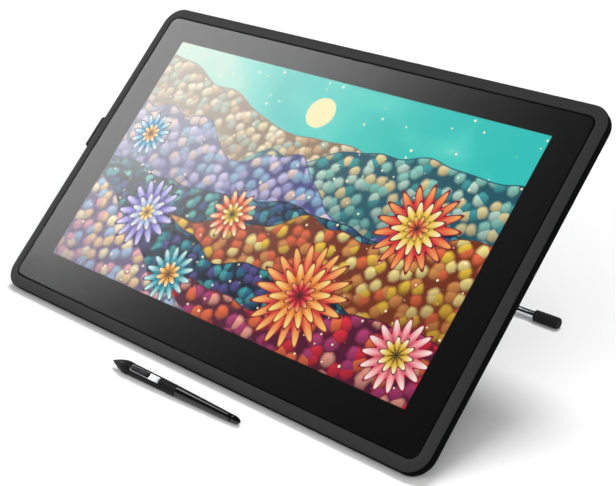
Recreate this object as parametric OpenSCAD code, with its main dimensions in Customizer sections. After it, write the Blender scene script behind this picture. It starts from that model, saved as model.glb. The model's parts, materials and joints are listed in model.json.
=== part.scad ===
// Pen display: a drawing tablet with a built-in screen, on a folding stand, with its pen beside it.
// X runs to the right, Y to the back and Z up. The origin is the middle of the rubber strip on the desk.

/* [Housing] */
// Width of the display housing
body_w = 565.5; // [545:0.5:620]
// Height of the display housing, measured along its face
body_h = 354; // [346:0.5:390]
// Radius of the housing's corners, seen from the front
body_corner_r = 21.5; // [21:0.5:28]
// Width of the bezel, from the outer edge to the glass
bezel_w = 11.6; // [10.5:0.1:13]
// Depth of the bezel, from its front to the seam
bezel_depth = 9.5; // [9:0.1:10.5]
// Width of the crowned outer part of the bezel's face
bezel_crown_w = 7; // [4:0.1:8]
// Radius of the crowned part, in section
bezel_crown_r = 14; // [12:0.5:24]
// Depth, and inset, of the slanted sides of the rear cover
taper = 18; // [17:0.5:19]
// Wall thickness of the rear cover
wall = 2.4; // [1.8:0.1:2.8]
// Width of the raised housing in the middle of the back
hump_w = 330; // [280:5:400]
// Height of the raised housing in the middle of the back
hump_h = 190; // [176:2:210]
// Depth of the raised housing in the middle of the back
hump_depth = 13; // [12:0.5:18]
// Corner radius of the raised housing
hump_corner_r = 16; // [10:1:24]

/* [Screen] */
// Width of the border at each side of the picture, from the edge of the housing
side_border = 44.75; // [42:0.25:60]
// Width of the border above the picture
top_border = 38.5; // [37:0.5:55]
// Width of the border below the picture
bottom_border = 47.5; // [44:0.5:65]
// Thickness of the cover glass
glass_t = 1; // [0.8:0.1:2]
// Depth of the glass below the front of the bezel
glass_recess = 0.2; // [0.2:0.1:1]

/* [Stand] */
// Tilt of the display above the desk
tilt = 45; // [25:1:70]
// Length of the leg, from the hinge to the foot tube
leg_len = 174.7; // [165:0.1:215]
// Half the length of the foot, to the end of its rubber sleeve
foot_half = 202; // [150:1:230]
// Length of each rubber sleeve
sleeve_len = 28.5; // [22:0.5:60]
// Radius of each rubber sleeve
sleeve_r = 5.9; // [5.4:0.1:8]
// Radius of the foot tube
tube_r = 4.1; // [3:0.1:4.8]
// Radius of the hinge shaft
shaft_r = 5; // [4:0.1:5.4]
// Radius of the brake drum on the hinge shaft
drum_r = 9; // [8:0.1:10]
// Thickness of the stand's sheet steel
sheet_t = 2.5; // [2:0.1:3]
// Spacing of the monitor-arm holes
arm_hole_step = 100; // [96:1:120]

/* [Pen] */
// Length of the pen
pen_len = 165; // [150:1:185]
// Greatest radius of the pen, at its shoulder
pen_r = 6.4; // [6.2:0.1:7.2]
// Radius of the pen at the back of its grip
pen_mid_r = 5.4; // [5.2:0.1:5.7]
// Radius of the pen at its tail
pen_tail_r = 4.2; // [3.8:0.1:4.4]
// Length of the pen's nose, with the nib
nose_len = 17; // [14:0.5:20]
// Length of the pen's rubber grip
grip_len = 71; // [60:1:80]
// Length of the pen's tail switch
eraser_len = 10; // [7:0.5:12]
// Place of the nib across the desk
pen_x = -55; // [-120:1:60]
// Place of the nib in front of the display
pen_y = -54.5; // [-90:0.5:-30]
// Turn of the pen on the desk
pen_turn = 1.8; // [-10:0.1:10]
// Roll of the pen, which brings its side switch towards the front
pen_roll = 32; // [-40:1:60]

/* [Hidden] */
$fn = 64;

// Clearances: a loose fit, a running fit, a seat that only touches and a cutter's overshoot
loose = 0.3;
running = 0.06;
seat = 0.02;
past = 0.5;
root2 = sqrt(2);

// Layers behind the front, each measured to its rear face
mask_t = 0.2;
gasket_t = 0.4;
ledge_t = 3;
panel_t = 2;
light_t = 4.5;
tray_t = 1;
sheet_sensor_t = 1;
chassis_t = 1.5;
glass_front = -glass_recess;
glass_rear = glass_front - glass_t;
mask_rear = glass_rear - mask_t;
gasket_rear = mask_rear - gasket_t;
ledge_rear = gasket_rear - ledge_t;
panel_rear = mask_rear - panel_t;
light_rear = panel_rear - light_t;
tray_rear = light_rear - tray_t;
sensor_rear = tray_rear - sheet_sensor_t;
chassis_rear = sensor_rear - chassis_t;
seam_z = -bezel_depth;
back_z = seam_z - taper;
hump_z = back_z - hump_depth;

// Outlines of the layers
screen_w = body_w - 2 * side_border;
screen_h = body_h - top_border - bottom_border;
screen_up = (bottom_border - top_border) / 2;
groove_w = 1.1;
groove_depth = 0.5;
glass_w = body_w - 2 * bezel_w;
glass_h = body_h - 2 * bezel_w;
glass_corner_r = body_corner_r - bezel_w;
panel_margin = 8;
panel_w = screen_w + 2 * panel_margin;
panel_h = screen_h + 2 * panel_margin;
tray_wall = 1.2;
tray_w = panel_w + 2 * tray_wall;
tray_h = panel_h + 2 * tray_wall;
bezel_lip = 0.5;
tongue_t = 1.4;
tongue_depth = 2.5;

// Ears that screw the chassis to the bezel, and the screws that close the case
ear_out = 7;
ear_r = 5;
ear_side_y = 70;
ear_end_x = 150;
chassis_boss_r = 3;
small_screw_r = 1.1;
small_head_r = 2.4;
small_head_t = 1.4;
ears = [for (s = [-1, 1]) each [
    [s * (tray_w / 2 + ear_out), screen_up + ear_side_y],
    [s * (tray_w / 2 + ear_out), screen_up - ear_side_y],
    [s * ear_end_x, screen_up + tray_h / 2 + ear_out],
    [s * ear_end_x, screen_up - tray_h / 2 - ear_out]]];
case_inset = 24;
case_side_y = -28;
case_boss_r = 3.4;
case_post_r = 5;
case_screw_r = 1.5;
case_head_r = 2.9;
case_head_t = 2;
case_sink = 2.6;
case_meet_z = chassis_rear - 3;
case_spots = [for (s = [-1, 1]) each [
    [s * (body_w / 2 - case_inset), body_h / 2 - case_inset],
    [s * (body_w / 2 - case_inset), -body_h / 2 + case_inset],
    [s * (body_w / 2 - case_inset), case_side_y],
    [0, s * (body_h / 2 - case_inset)]]];

// Raised housing, vents, monitor-arm holes and lock slot
hump_draft = 5;
vent_w = 2.4;
vent_len = 14;
vent_step = 9;
vent_out = 20;
vent_count = floor((hump_w - 2 * hump_corner_r) / vent_step);
insert_r = 3.5;
insert_bore_r = 2;
insert_len = 7;
insert_wall = 2.5;
lock_in_x = 70;
lock_in_y = 60;
lock_spot = [-body_w / 2 + lock_in_x, -body_h / 2 + lock_in_y];
lock_w = 7;
lock_h = 3.2;
lock_plate_w = 18;
lock_plate_h = 12;
lock_plate_t = 1.5;

// Boards and sockets
pcb_t = 1.6;
pcb_w = 150;
pcb_h = 78;
pcb_rear = back_z - 1;
pcb_front = pcb_rear + pcb_t;
pcb_low_y = -hump_h / 2 + 8;
pcb_hole_inset = 5;
standoff_r = 3;
pcb_spots = [for (x = [-1, 1], y = [0, 1])
    [x * (pcb_w / 2 - pcb_hole_inset), pcb_low_y + pcb_hole_inset + y * (pcb_h - 2 * pcb_hole_inset)]];
driver_w = 120;
driver_h = 22;
driver_low_y = 30;
can_spot = [-28, 42];
can_size = [36, 30, 3];
memory_spots = [[12, 46], [28, 46]];
memory_size = [11, 11, 1.2];
plug_spot = [52, 44];
plug_size = [14, 14, 2];
cable_w = 40;
cable_t = 0.4;
cable_lap = 6;
socket_depth = 13;
socket_wall = 0.6;
socket_mouth_y = -hump_h / 2 + 1.6;
hdmi_x = -42;
hdmi_w = 15.2;
hdmi_h = 6;
usb_x = 0;
usb_w = 14.2;
usb_h = 6.6;
dc_x = 40;
dc_w = 10;
dc_h = 8.6;
dc_bore_r = 3;
dc_pin_r = 1;

// Rubber strip along the bottom edge, on the slanted side
strip_end_in = 65;
strip_len = body_w - 2 * strip_end_in;
strip_w = 15;
strip_sink = 0.8;
strip_proud = 1.2;
strip_chamfer = 0.8;

// Power button and its light, on the slanted top side
button_side_in = 85;
button_x = body_w / 2 - button_side_in;
button_in = 2;
button_w = 14;
button_h = 6;
button_proud = 1.2;
button_flange = 1;
button_flange_t = 1;
button_travel = 0.8;
dome_w = 5;
dome_t = 2;
button_pcb_t = 1.2;
button_pcb_w = 40;
button_pcb_h = 8;
light_x = 14;
light_r = 1.1;
dome_top = -wall - button_flange_t - button_travel - 2 * running;
button_pcb_front = dome_top - dome_t;

// Pen holder, clipped into a slot in the left side, and the blank in the right one
holder_y = 13;
holder_len = 36;
holder_bore_r = 5.9;
holder_r = 7.9;
holder_out = 10.5;
holder_in_z = taper - 6;
holder_z = seam_z - holder_in_z;
slot_w = 22;
slot_h = 4;
slot_grip = 6;
saddle_rise = 10;
saddle_fall = 2.4;
blank_t = 1.2;
blank_lap = 2;

// Stand: places are measured from the hinge axis, with Y up the back and Z towards the display
hinge_y = 5;
hinge_drop = 13;
hinge_z = hump_z - sheet_t - hinge_drop;
drum_half = 14.5;
ear_gap_half = 19;
bracket_ear_t = 4;
bush_wall = 1.5;
bush_flange = 1.5;
bush_flange_t = 1;
fork_half = ear_gap_half + bracket_ear_t + bush_flange_t + loose;
knuckle_len = 20;
knuckle_r = shaft_r + 4.5;
clip_t = 1.2;
clip_r = shaft_r + 2.5;
shaft_half = fork_half + knuckle_len + clip_t + 1;
bracket_half_w = 40;
bracket_low = -44;
bracket_high = 58;
bracket_corner_r = 6;
bracket_boss_r = shaft_r + 6;
stand_screw_x = 32;
stand_screw_r = 2;
stand_head_r = 3.8;
stand_head_t = 2.4;
stand_screw_len = 8;
stand_screw_ys = [bracket_low + 8, bracket_high - 8];
pin_y = 30;
pin_z = -2;
pin_r = 2.5;
pin_boss_r = pin_r + 4;
lever_half = 15;
lever_hub_r = pin_r + 3;
lever_top = 77;
paddle_t = 4.6;
paddle_knee = 26;
shoe_t = 2.5;
shoe_from = -60;
shoe_to = -14;
shoe_gap = 0.1;
heel_t = 4.5;
spring_y = 49;
spring_r = 3;
spring_wire_r = 0.45;
spring_turns = 4;
spring_floor = 2;
spring_play = 0.15;

// Leg: Y runs from the hinge axis to the foot tube
fork_len = 62;
leg_shoulder = 50;
leg_foot_half = 72;
leg_foot_len = 22;
leg_flange = 9;
rib_x = 26;
rib_r = 4;
rib_proud = 1.6;
rib_from = fork_len + 18;
rib_to = leg_len - 26;
tube_wall = 1;
sleeve_end = 3;
sleeve_edge_r = 1.4;

// Pen
nib_r = 0.9;
nib_out = 2;
nib_gap = 0.8;
nib_len = 28;
nose_tip_r = 1.25;
nose_swell = 0.45;
nose_end_r = pen_r - 0.35;
pen_bore_r = 2.8;
coil_wall = 1.6;
coil_from = 11;
coil_to = 25;
pen_wide_x = nose_len + 4.5;
shoulder_end_x = pen_wide_x + 5.5;
pen_front_r = pen_r - 0.35;
ring_from = pen_wide_x + 1.2;
ring_step = 1.5;
ring_w = 0.7;
ring_depth = 0.3;
ring_count = 3;
pen_tail_x = pen_len - eraser_len;
grip_end_x = nose_len + grip_len;
pen_sensor_len = 7;
pen_board_w = 4.4;
pen_board_t = 1;
plate_from = shoulder_end_x + 0.5;
plate_len = 38.5;
plate_w = 6;
plate_t = 1.2;
plate_proud = 0.7;
rocker_from = plate_from + 1;
rocker_len = 24.5;
rocker_w = 4.8;
rocker_t = 2.4;
rocker_proud = 0.9;
rocker_gap = 0.15;
rocker_play = 0.8;
rocker_pin_r = 0.4;
rocker_pin_wall = 0.15;
rocker_dip_r = 14;
rocker_dip = 0.4;
eraser_gap = 1.2;
eraser_stem_r = 2;
eraser_stem_len = 7;
eraser_rim = 1;

// Where the display stands: the strip's flat face or one of its edges is on the desk
strip_mid = [-body_h / 2 + taper / 2 - strip_proud / root2, seam_z - taper / 2 - strip_proud / root2];
strip_edge = (strip_w / 2 - strip_chamfer) / root2;
function height_of(p) = p.x * sin(tilt) + p.y * cos(tilt);
lift = -min(height_of(strip_mid + [strip_edge, -strip_edge]),
    height_of(strip_mid - [strip_edge, -strip_edge]));
shift = -(strip_mid.x * cos(tilt) - strip_mid.y * sin(tilt));

// Where the hinge is above the desk, and how far the leg leans for its sleeves to rest on the desk
hinge_desk_y = shift + hinge_y * cos(tilt) - hinge_z * sin(tilt);
hinge_desk_z = lift + hinge_y * sin(tilt) + hinge_z * cos(tilt);
leg_drop = asin((hinge_desk_z - sleeve_r) / leg_len);

// The pen lies on its shoulder and on the back of its grip
pen_slope = asin((pen_r - pen_mid_r) / (grip_end_x - pen_wide_x));
pen_lift = pen_r * cos(pen_slope) + pen_wide_x * sin(pen_slope);

// Radius of the pen's grip and barrel at a distance from the nib
function taper_r(x) = x < grip_end_x
    ? pen_front_r + (pen_mid_r - pen_front_r) * (x - shoulder_end_x) / (grip_end_x - shoulder_end_x)
    : pen_mid_r + (pen_tail_r - pen_mid_r) * (x - grip_end_x) / (pen_tail_x - grip_end_x);

// Radius of the slightly swollen nose at a distance from the nib
function nose_r(x) =
    let (t = (x - nib_out) / (nose_len - nib_out))
    nose_tip_r + (nose_end_r - nose_tip_r) * t + nose_swell * sin(180 * t);

// Radius of the shoulder behind its widest ring
function shoulder_r(x) = pen_r + (pen_front_r - pen_r) * (x - pen_wide_x) / (shoulder_end_x - pen_wide_x);

// Puts display pieces, drawn lying face up, in their tilted place above the desk
module on_display() translate([0, shift, lift]) rotate([tilt, 0, 0]) children();

// Puts pieces drawn round the hinge axis in their place behind the display
module at_hinge() on_display() translate([0, hinge_y, hinge_z]) children();

// Puts leg pieces, drawn along Y from the hinge axis, on their way down to the desk
module on_leg() translate([0, hinge_desk_y, hinge_desk_z]) rotate([-leg_drop, 0, 0]) children();

// Puts pen pieces, drawn along X from the nib, down on the desk
module on_desk()
    translate([pen_x, pen_y, pen_lift]) rotate([0, pen_slope, pen_turn]) rotate([pen_roll, 0, 0]) children();

// Puts pieces drawn face up on the outer face of a slanted side: 1 is the top one, -1 the bottom one
module on_slant(side)
    translate([0, side * (body_h / 2 - taper / 2), seam_z - taper / 2])
        rotate([-side * 135, 0, 0]) children();

// Rectangle with round corners, about the origin
module rounded(w, h, r) {
    square([w, h - 2 * r], center = true);
    square([w - 2 * r, h], center = true);
    for (x = [-1, 1], y = [-1, 1]) translate([x * (w / 2 - r), y * (h / 2 - r)]) circle(r);
}

// Plate with round corners between two heights
module plate(w, h, r, low, high) translate([0, 0, low]) linear_extrude(high - low) rounded(w, h, r);

// Box about a point in X and Y, between two heights
module block(w, h, low, high) translate([-w / 2, -h / 2, low]) cube([w, h, high - low]);

// Upright round bar between two heights
module bar(r, low, high) translate([0, 0, low]) cylinder(r = r, h = high - low);

// Profile carried round a rectangle with round corners; its X is measured from the corner's centre
module rim(w, h, r)
    for (turn = [0, 180]) rotate(turn) {
        translate([w / 2 - r, 0, 0]) rotate([90, 0, 0]) linear_extrude(h - 2 * r, center = true) children();
        translate([0, h / 2 - r, 0]) rotate([90, 0, 90]) linear_extrude(w - 2 * r, center = true) children();
        for (x = [0, 1]) translate([(1 - 2 * x) * (w / 2 - r), h / 2 - r, 0])
            rotate(90 * x) rotate_extrude(angle = 90) children();
    }

// Outline drawn in Y and Z, carried along X between two places
module across(from, to) translate([from, 0, 0]) rotate([90, 0, 90]) linear_extrude(to - from) children();

// Solid turned about X from a list of radius and distance pairs
module turned(points) rotate([0, 90, 0]) rotate_extrude() polygon(points);

// Round bar along X
module rod(r, from, to) translate([from, 0, 0]) rotate([0, 90, 0]) cylinder(r = r, h = to - from);

// Screw seen from its head's outer face, with its shank going up
module screw(head_r, head_t, shank_r, shank_len) {
    difference() {
        cylinder(r = head_r, h = head_t);
        translate([0, 0, -past]) cylinder(r = shank_r * 0.9, h = head_t / 2 + past, $fn = 6);
    }
    bar(shank_r, head_t - seat, head_t + shank_len);
}

module front_bezel() color("#3b3b3d") on_display() difference() {
    union() {
        rim(body_w, body_h, body_corner_r) bezel_profile();
        difference() {
            plate(glass_w + 2, glass_h + 2, glass_corner_r + 1, ledge_rear, gasket_rear);
            translate([0, screen_up])
                block(tray_w + 2 * loose, tray_h + 2 * loose, ledge_rear - 1, gasket_rear + 1);
        }
        for (p = ears) translate(p) bar(chassis_boss_r, sensor_rear, ledge_rear + past);
        for (p = case_spots) translate(p) bar(case_boss_r, case_meet_z, ledge_rear + past);
    }
    for (p = ears) translate(p) bar(small_screw_r + seat, sensor_rear - 1, ledge_rear + 1);
    for (p = case_spots) translate(p) bar(case_screw_r + seat, case_meet_z - 1, ledge_rear + 1);
}

// Section of the bezel: crowned outer part, small bevel at the glass, tongue inside the rear cover
module bezel_profile() {
    r = body_corner_r;
    difference() {
        intersection() {
            translate([r - bezel_w, seam_z]) square([bezel_w, bezel_depth]);
            union() {
                translate([r - bezel_w, seam_z]) square([bezel_w - bezel_crown_w, bezel_depth]);
                translate([r - bezel_crown_w, -bezel_crown_r]) circle(bezel_crown_r);
            }
        }
        translate([r - bezel_w, 0]) rotate(45) square(bezel_lip * root2, center = true);
    }
    translate([r - wall * root2 - tongue_depth - loose - tongue_t, seam_z - tongue_depth])
        square([tongue_t, tongue_depth + past]);
}

// Plate in the bezel's opening, with a gap to the bezel
module glass_plate(gap, low, high)
    plate(glass_w - 2 * gap, glass_h - 2 * gap, glass_corner_r - gap, low, high);

module cover_glass() color("#8fa3a8", 0.35) on_display()
    glass_plate(groove_w, glass_rear, glass_front);

module glass_mask() color("#0b0b0c") on_display() difference() {
    glass_plate(groove_w, mask_rear, glass_rear);
    translate([0, screen_up]) block(screen_w, screen_h, mask_rear - 1, glass_rear + 1);
}

// Black seal: a flat frame behind the glass, and a lip that fills the groove round its edge
module glass_gasket() color("#1a1a1a") on_display() difference() {
    glass_plate(seat, gasket_rear, glass_front - groove_depth);
    glass_plate(groove_w - seat, mask_rear, glass_front);
    translate([0, screen_up]) block(tray_w + 2 * loose, tray_h + 2 * loose, gasket_rear - 1, mask_rear + 1);
}

module lcd_panel() color("#5fb5ae") on_display() translate([0, screen_up])
    block(panel_w - 2 * seat, panel_h - 2 * seat, panel_rear, mask_rear);

module backlight() color("#f2f2ec") on_display() translate([0, screen_up])
    block(panel_w - 2 * seat, panel_h - 2 * seat, light_rear, panel_rear);

module panel_tray() color("#b9bcc0") on_display() translate([0, screen_up]) difference() {
    block(tray_w, tray_h, tray_rear, mask_rear);
    block(panel_w, panel_h, light_rear, mask_rear + 1);
}

module pen_sensor_sheet() color("#2f6b45") on_display() translate([0, screen_up])
    block(tray_w, tray_h, sensor_rear, tray_rear);

module chassis_plate() color("#a7abb0") on_display() difference() {
    union() {
        translate([0, screen_up]) block(tray_w, tray_h, chassis_rear, sensor_rear);
        for (p = ears) translate(p) bar(ear_r, chassis_rear, sensor_rear);
        for (p = ears) translate([
            min(max(p.x, -tray_w / 2), tray_w / 2) / 2 + p.x / 2,
            screen_up + (min(max(p.y - screen_up, -tray_h / 2), tray_h / 2) + p.y - screen_up) / 2])
            block(2 * ear_r, 2 * ear_r, chassis_rear, sensor_rear);
        for (p = pcb_spots) translate(p) bar(standoff_r, pcb_front, chassis_rear + past);
    }
    for (p = ears) translate(p) bar(small_screw_r + loose, chassis_rear - 1, sensor_rear + 1);
    for (p = pcb_spots) translate(p) bar(small_screw_r + seat, pcb_front - 1, chassis_rear - 1);
}

module chassis_screws() color("#c9ccd0") on_display()
    for (p = ears) translate([p.x, p.y, chassis_rear - small_head_t])
        screw(small_head_r, small_head_t, small_screw_r, chassis_t + 4);

module main_board() color("#1f5a3c") on_display() difference() {
    translate([0, pcb_low_y + pcb_h / 2]) block(pcb_w, pcb_h, pcb_rear, pcb_front);
    for (p = pcb_spots) translate(p) bar(small_screw_r + loose, pcb_rear - 1, pcb_front + 1);
}

module board_screws() color("#c9ccd0") on_display()
    for (p = pcb_spots) translate([p.x, p.y, pcb_rear - small_head_t])
        screw(small_head_r, small_head_t, small_screw_r, pcb_t + 5);

// Shield can, two memory chips and the cable connector, on the rear of the main board
module board_chips() color("#2b2b2e") on_display() translate([0, pcb_low_y, 0]) {
    translate(can_spot) block(can_size.x, can_size.y, pcb_rear - can_size.z, pcb_rear);
    for (p = memory_spots) translate(p)
        block(memory_size.x, memory_size.y, pcb_rear - memory_size.z, pcb_rear);
    translate(plug_spot) block(plug_size.x, plug_size.y, pcb_rear - plug_size.z, pcb_rear);
}

module led_driver_board() color("#1f5a3c") on_display()
    translate([0, driver_low_y + driver_h / 2]) block(driver_w, driver_h, chassis_rear - pcb_t, chassis_rear);

// Flat cable from the driver board, past the edge of the main board, to the rear of that board
module panel_cable() color("#d8d4c6") on_display() {
    edge_y = pcb_low_y + pcb_h;
    route = [[driver_low_y + cable_lap, chassis_rear - pcb_t], [driver_low_y - 8, chassis_rear - pcb_t],
        [edge_y + 2, pcb_rear], [edge_y - cable_lap, pcb_rear]];
    across(-cable_w / 2, cable_w / 2)
        polygon(concat(route, [for (i = [len(route) - 1:-1:0]) route[i] - [0, cable_t]]));
}

// Metal socket under the main board, open downwards, with its contact tongue
module socket(x, w, h, tongue_t) translate([x, socket_mouth_y, pcb_rear - h / 2]) difference() {
    block_y(w, h, 0, socket_depth);
    difference() {
        block_y(w - 2 * socket_wall, h - 2 * socket_wall, -past, socket_depth - 2);
        block_y(w - 5, tongue_t, 1, socket_depth);
    }
}

// Box about Y between two distances
module block_y(w, h, from, to) translate([-w / 2, from, -h / 2]) cube([w, to - from, h]);

module hdmi_socket() color("#c2c4c7") on_display() socket(hdmi_x, hdmi_w, hdmi_h, 1);

module usb_socket() color("#c2c4c7") on_display() socket(usb_x, usb_w, usb_h, 1.8);

module dc_socket() color("#1d1d1f") on_display() translate([dc_x, socket_mouth_y, pcb_rear - dc_h / 2]) {
    difference() {
        block_y(dc_w, dc_h, 0, socket_depth);
        rotate([-90, 0, 0]) bar(dc_bore_r, -past, socket_depth - 3);
    }
    rotate([-90, 0, 0]) bar(dc_pin_r, 1.5, socket_depth - 2);
}

module rear_cover() color("#2c2c2e") on_display() difference() {
    union() {
        rim(body_w, body_h, body_corner_r) cover_profile();
        difference() {
            plate(body_w - 2 * taper, body_h - 2 * taper, body_corner_r - taper, back_z, back_z + wall);
            plate(hump_w - 2 * wall, hump_h - 2 * wall, hump_corner_r - wall, back_z - 1, back_z + wall + 1);
        }
        rim(hump_w, hump_h, hump_corner_r) hump_profile();
        plate(hump_w - 2 * hump_draft, hump_h - 2 * hump_draft, hump_corner_r - hump_draft,
            hump_z, hump_z + wall);
        for (p = case_spots) translate(p) bar(case_post_r, back_z, case_meet_z);
        for (x = [-1, 1], y = [-1, 1]) translate([x, y] * arm_hole_step / 2)
            bar(insert_r + insert_wall, hump_z, hump_z + insert_len);
        for (x = [-1, 1], y = stand_screw_ys) translate([x * stand_screw_x, hinge_y + y])
            bar(stand_screw_r + insert_wall, hump_z, hump_z + stand_screw_len);
        on_slant(1) translate([button_x + light_x / 2, button_in]) for (x = [-1, 1])
            translate([x * (button_pcb_w / 2 - 2), 0]) block(3, button_pcb_h, button_pcb_front, -wall / 2);
    }
    for (p = case_spots) translate(p) {
        bar(case_screw_r + loose, back_z - 1, case_meet_z + 1);
        bar(case_head_r + loose, back_z - 1, back_z + case_sink);
    }
    for (x = [-1, 1], y = [-1, 1]) translate([x, y] * arm_hole_step / 2)
        bar(insert_r + seat, hump_z - 1, hump_z + insert_len + 1);
    for (x = [-1, 1], y = stand_screw_ys) translate([x * stand_screw_x, hinge_y + y])
        bar(stand_screw_r + seat, hump_z - 1, hump_z + stand_screw_len + 1);
    for (i = [0:vent_count - 1], s = [-1, 1])
        translate([(i - (vent_count - 1) / 2) * vent_step, s * (hump_h / 2 + vent_out)])
            plate(vent_w, vent_len, vent_w / 2 - seat, back_z - 1, back_z + wall + 1);
    translate(lock_spot) plate(lock_w, lock_h, 0.8, back_z - 1, back_z + wall + 1);
    for (s = [[hdmi_x, hdmi_w, hdmi_h], [usb_x, usb_w, usb_h], [dc_x, dc_w, dc_h]])
        translate([s[0], -hump_h / 2, pcb_rear - s[2] / 2])
            block_y(s[1] + 2 * loose, s[2] + 2 * loose, -1, hump_draft + wall);
    on_slant(-1) block(strip_len, strip_w, -strip_sink, 1);
    on_slant(1) translate([button_x, button_in]) {
        plate(button_w + 2 * loose, button_h + 2 * loose, button_h / 2 + loose - seat, -wall - 1, 1);
        translate([light_x, 0]) bar(light_r + seat, -wall - 1, 1);
    }
    for (side = [-1, 1]) translate([side * (body_w / 2 - holder_in_z), holder_y, holder_z])
        cube([4 * slot_grip, slot_w, slot_h], center = true);
}

// Section of the rear cover's slanted side
module cover_profile() {
    r = body_corner_r;
    inner = wall * (root2 - 1);
    polygon([[r, seam_z], [r - taper, back_z], [r - taper - inner, back_z + wall],
        [r - wall * root2, seam_z]]);
}

// Section of the raised housing's side
module hump_profile() {
    r = hump_corner_r;
    d = hump_draft;
    polygon([[r, back_z + wall], [r, back_z], [r - d, hump_z], [r - d - wall, hump_z],
        [r - d - wall, hump_z + wall], [r - wall, back_z + wall]]);
}

module case_screws() color("#4a4a4d") on_display()
    for (p = case_spots) translate([p.x, p.y, back_z + case_sink - case_head_t])
        screw(case_head_r, case_head_t, case_screw_r, case_meet_z - back_z - case_sink + 5);

module arm_inserts() color("#c8b27a") on_display()
    for (x = [-1, 1], y = [-1, 1]) translate([x, y] * arm_hole_step / 2) difference() {
        bar(insert_r, hump_z, hump_z + insert_len);
        bar(insert_bore_r, hump_z - 1, hump_z + insert_len + 1);
    }

module lock_plate() color("#b9bcc0") on_display() translate(lock_spot) difference() {
    block(lock_plate_w, lock_plate_h, back_z + wall, back_z + wall + lock_plate_t);
    plate(lock_w, lock_h, 0.8, back_z, back_z + wall + lock_plate_t + 1);
}

module foot_strip() color("#171717") on_display() on_slant(-1)
    across(-strip_len / 2 + seat, strip_len / 2 - seat) {
    half = strip_w / 2 - seat;
    polygon([[-half, -strip_sink], [half, -strip_sink], [half, strip_proud - strip_chamfer],
        [half - strip_chamfer, strip_proud], [strip_chamfer - half, strip_proud],
        [-half, strip_proud - strip_chamfer]]);
}

module power_button() color("#1c1c1e") on_display() on_slant(1) translate([button_x, button_in]) {
    plate(button_w, button_h, button_h / 2 - seat, -wall - past, button_proud);
    plate(button_w + 2 * button_flange, button_h + 2 * button_flange, button_h / 2,
        -wall - running - button_flange_t, -wall - running);
}

// Board with its dome switch, held on two ribs of the rear cover
module button_board() color("#1f5a3c") on_display() on_slant(1) translate([button_x, button_in]) {
    translate([light_x / 2, 0])
        block(button_pcb_w, button_pcb_h, button_pcb_front - button_pcb_t, button_pcb_front);
    block(dome_w, dome_w, button_pcb_front - seat, dome_top);
}

module power_light() color("#e8f2ff", 0.6) on_display() on_slant(1) translate([button_x + light_x, button_in])
    bar(light_r, button_pcb_front, 0);

// Place of the slanted side's outer face, at a depth behind the front
function slant_x(z) = body_w / 2 + z - seam_z;

module pen_holder() color("#2a2a2c") on_display() mirror([1, 0, 0]) translate([0, holder_y, 0])
    difference() {
        union() {
            translate([body_w / 2 + holder_out, 0, holder_z]) rotate([90, 0, 0])
                cylinder(r = holder_r, h = holder_len, center = true);
            rotate([90, 0, 0]) linear_extrude(slot_w + 6, center = true) polygon([
                [slant_x(holder_z + saddle_rise) + seat, holder_z + saddle_rise],
                [slant_x(holder_z - saddle_fall) + seat, holder_z - saddle_fall],
                [slant_x(holder_z - saddle_fall) + 4, holder_z - saddle_fall - 4],
                [body_w / 2 + holder_out, holder_z - holder_r + 1],
                [body_w / 2 + holder_out, holder_z + holder_r - 1]]);
            translate([slant_x(holder_z) - slot_grip / 2, 0, holder_z])
                cube([slot_grip + 2, slot_w - 2 * loose, slot_h - 2 * loose], center = true);
        }
        translate([body_w / 2 + holder_out, 0, holder_z]) rotate([90, 0, 0])
            cylinder(r = holder_bore_r, h = holder_len + 2, center = true);
    }

module holder_blank() color("#2a2a2c") on_display() translate([0, holder_y, 0]) {
    rotate([90, 0, 0]) linear_extrude(slot_w + 2 * blank_lap, center = true) polygon([
        [slant_x(holder_z + slot_h) + seat, holder_z + slot_h],
        [slant_x(holder_z + slot_h) + blank_t * root2, holder_z + slot_h],
        [slant_x(holder_z - saddle_fall) + blank_t * root2, holder_z - saddle_fall],
        [slant_x(holder_z - saddle_fall) + seat, holder_z - saddle_fall]]);
    translate([slant_x(holder_z) - slot_grip / 2, 0, holder_z])
        cube([slot_grip + 1, slot_w - 2 * loose, slot_h - 2 * loose], center = true);
}

// Folded steel bracket: a base on the raised housing and two ears that carry the hinge and the lever
module stand_bracket() color("#39393c") at_hinge() difference() {
    union() {
        translate([0, (bracket_low + bracket_high) / 2])
            plate(2 * bracket_half_w, bracket_high - bracket_low, bracket_corner_r,
                hinge_drop, hinge_drop + sheet_t);
        for (s = [-1, 1]) across(min(s * ear_gap_half, s * (ear_gap_half + bracket_ear_t)),
            max(s * ear_gap_half, s * (ear_gap_half + bracket_ear_t))) bracket_ear();
    }
    rod(shaft_r + bush_wall + seat, -bracket_half_w, bracket_half_w);
    translate([0, pin_y, pin_z]) rod(pin_r + seat, -bracket_half_w, bracket_half_w);
    for (x = [-1, 1], y = stand_screw_ys) translate([x * stand_screw_x, y])
        bar(stand_screw_r + loose, hinge_drop - 1, hinge_drop + sheet_t + 1);
}

// Outline of one ear, round at the hinge and at the lever's pin
module bracket_ear() {
    circle(bracket_boss_r);
    translate([pin_y, pin_z]) circle(pin_boss_r);
    polygon([[-bracket_boss_r - 5, hinge_drop + seat], [-bracket_boss_r, 0], [0, -bracket_boss_r],
        [pin_y, pin_z - pin_boss_r], [pin_y + pin_boss_r, pin_z],
        [pin_y + pin_boss_r + 4, hinge_drop + seat]]);
}

module stand_screws() color("#c9ccd0") at_hinge()
    for (x = [-1, 1], y = stand_screw_ys) translate([x * stand_screw_x, y, hinge_drop - stand_head_t])
        screw(stand_head_r, stand_head_t, stand_screw_r, sheet_t + stand_screw_len - 1);

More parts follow.
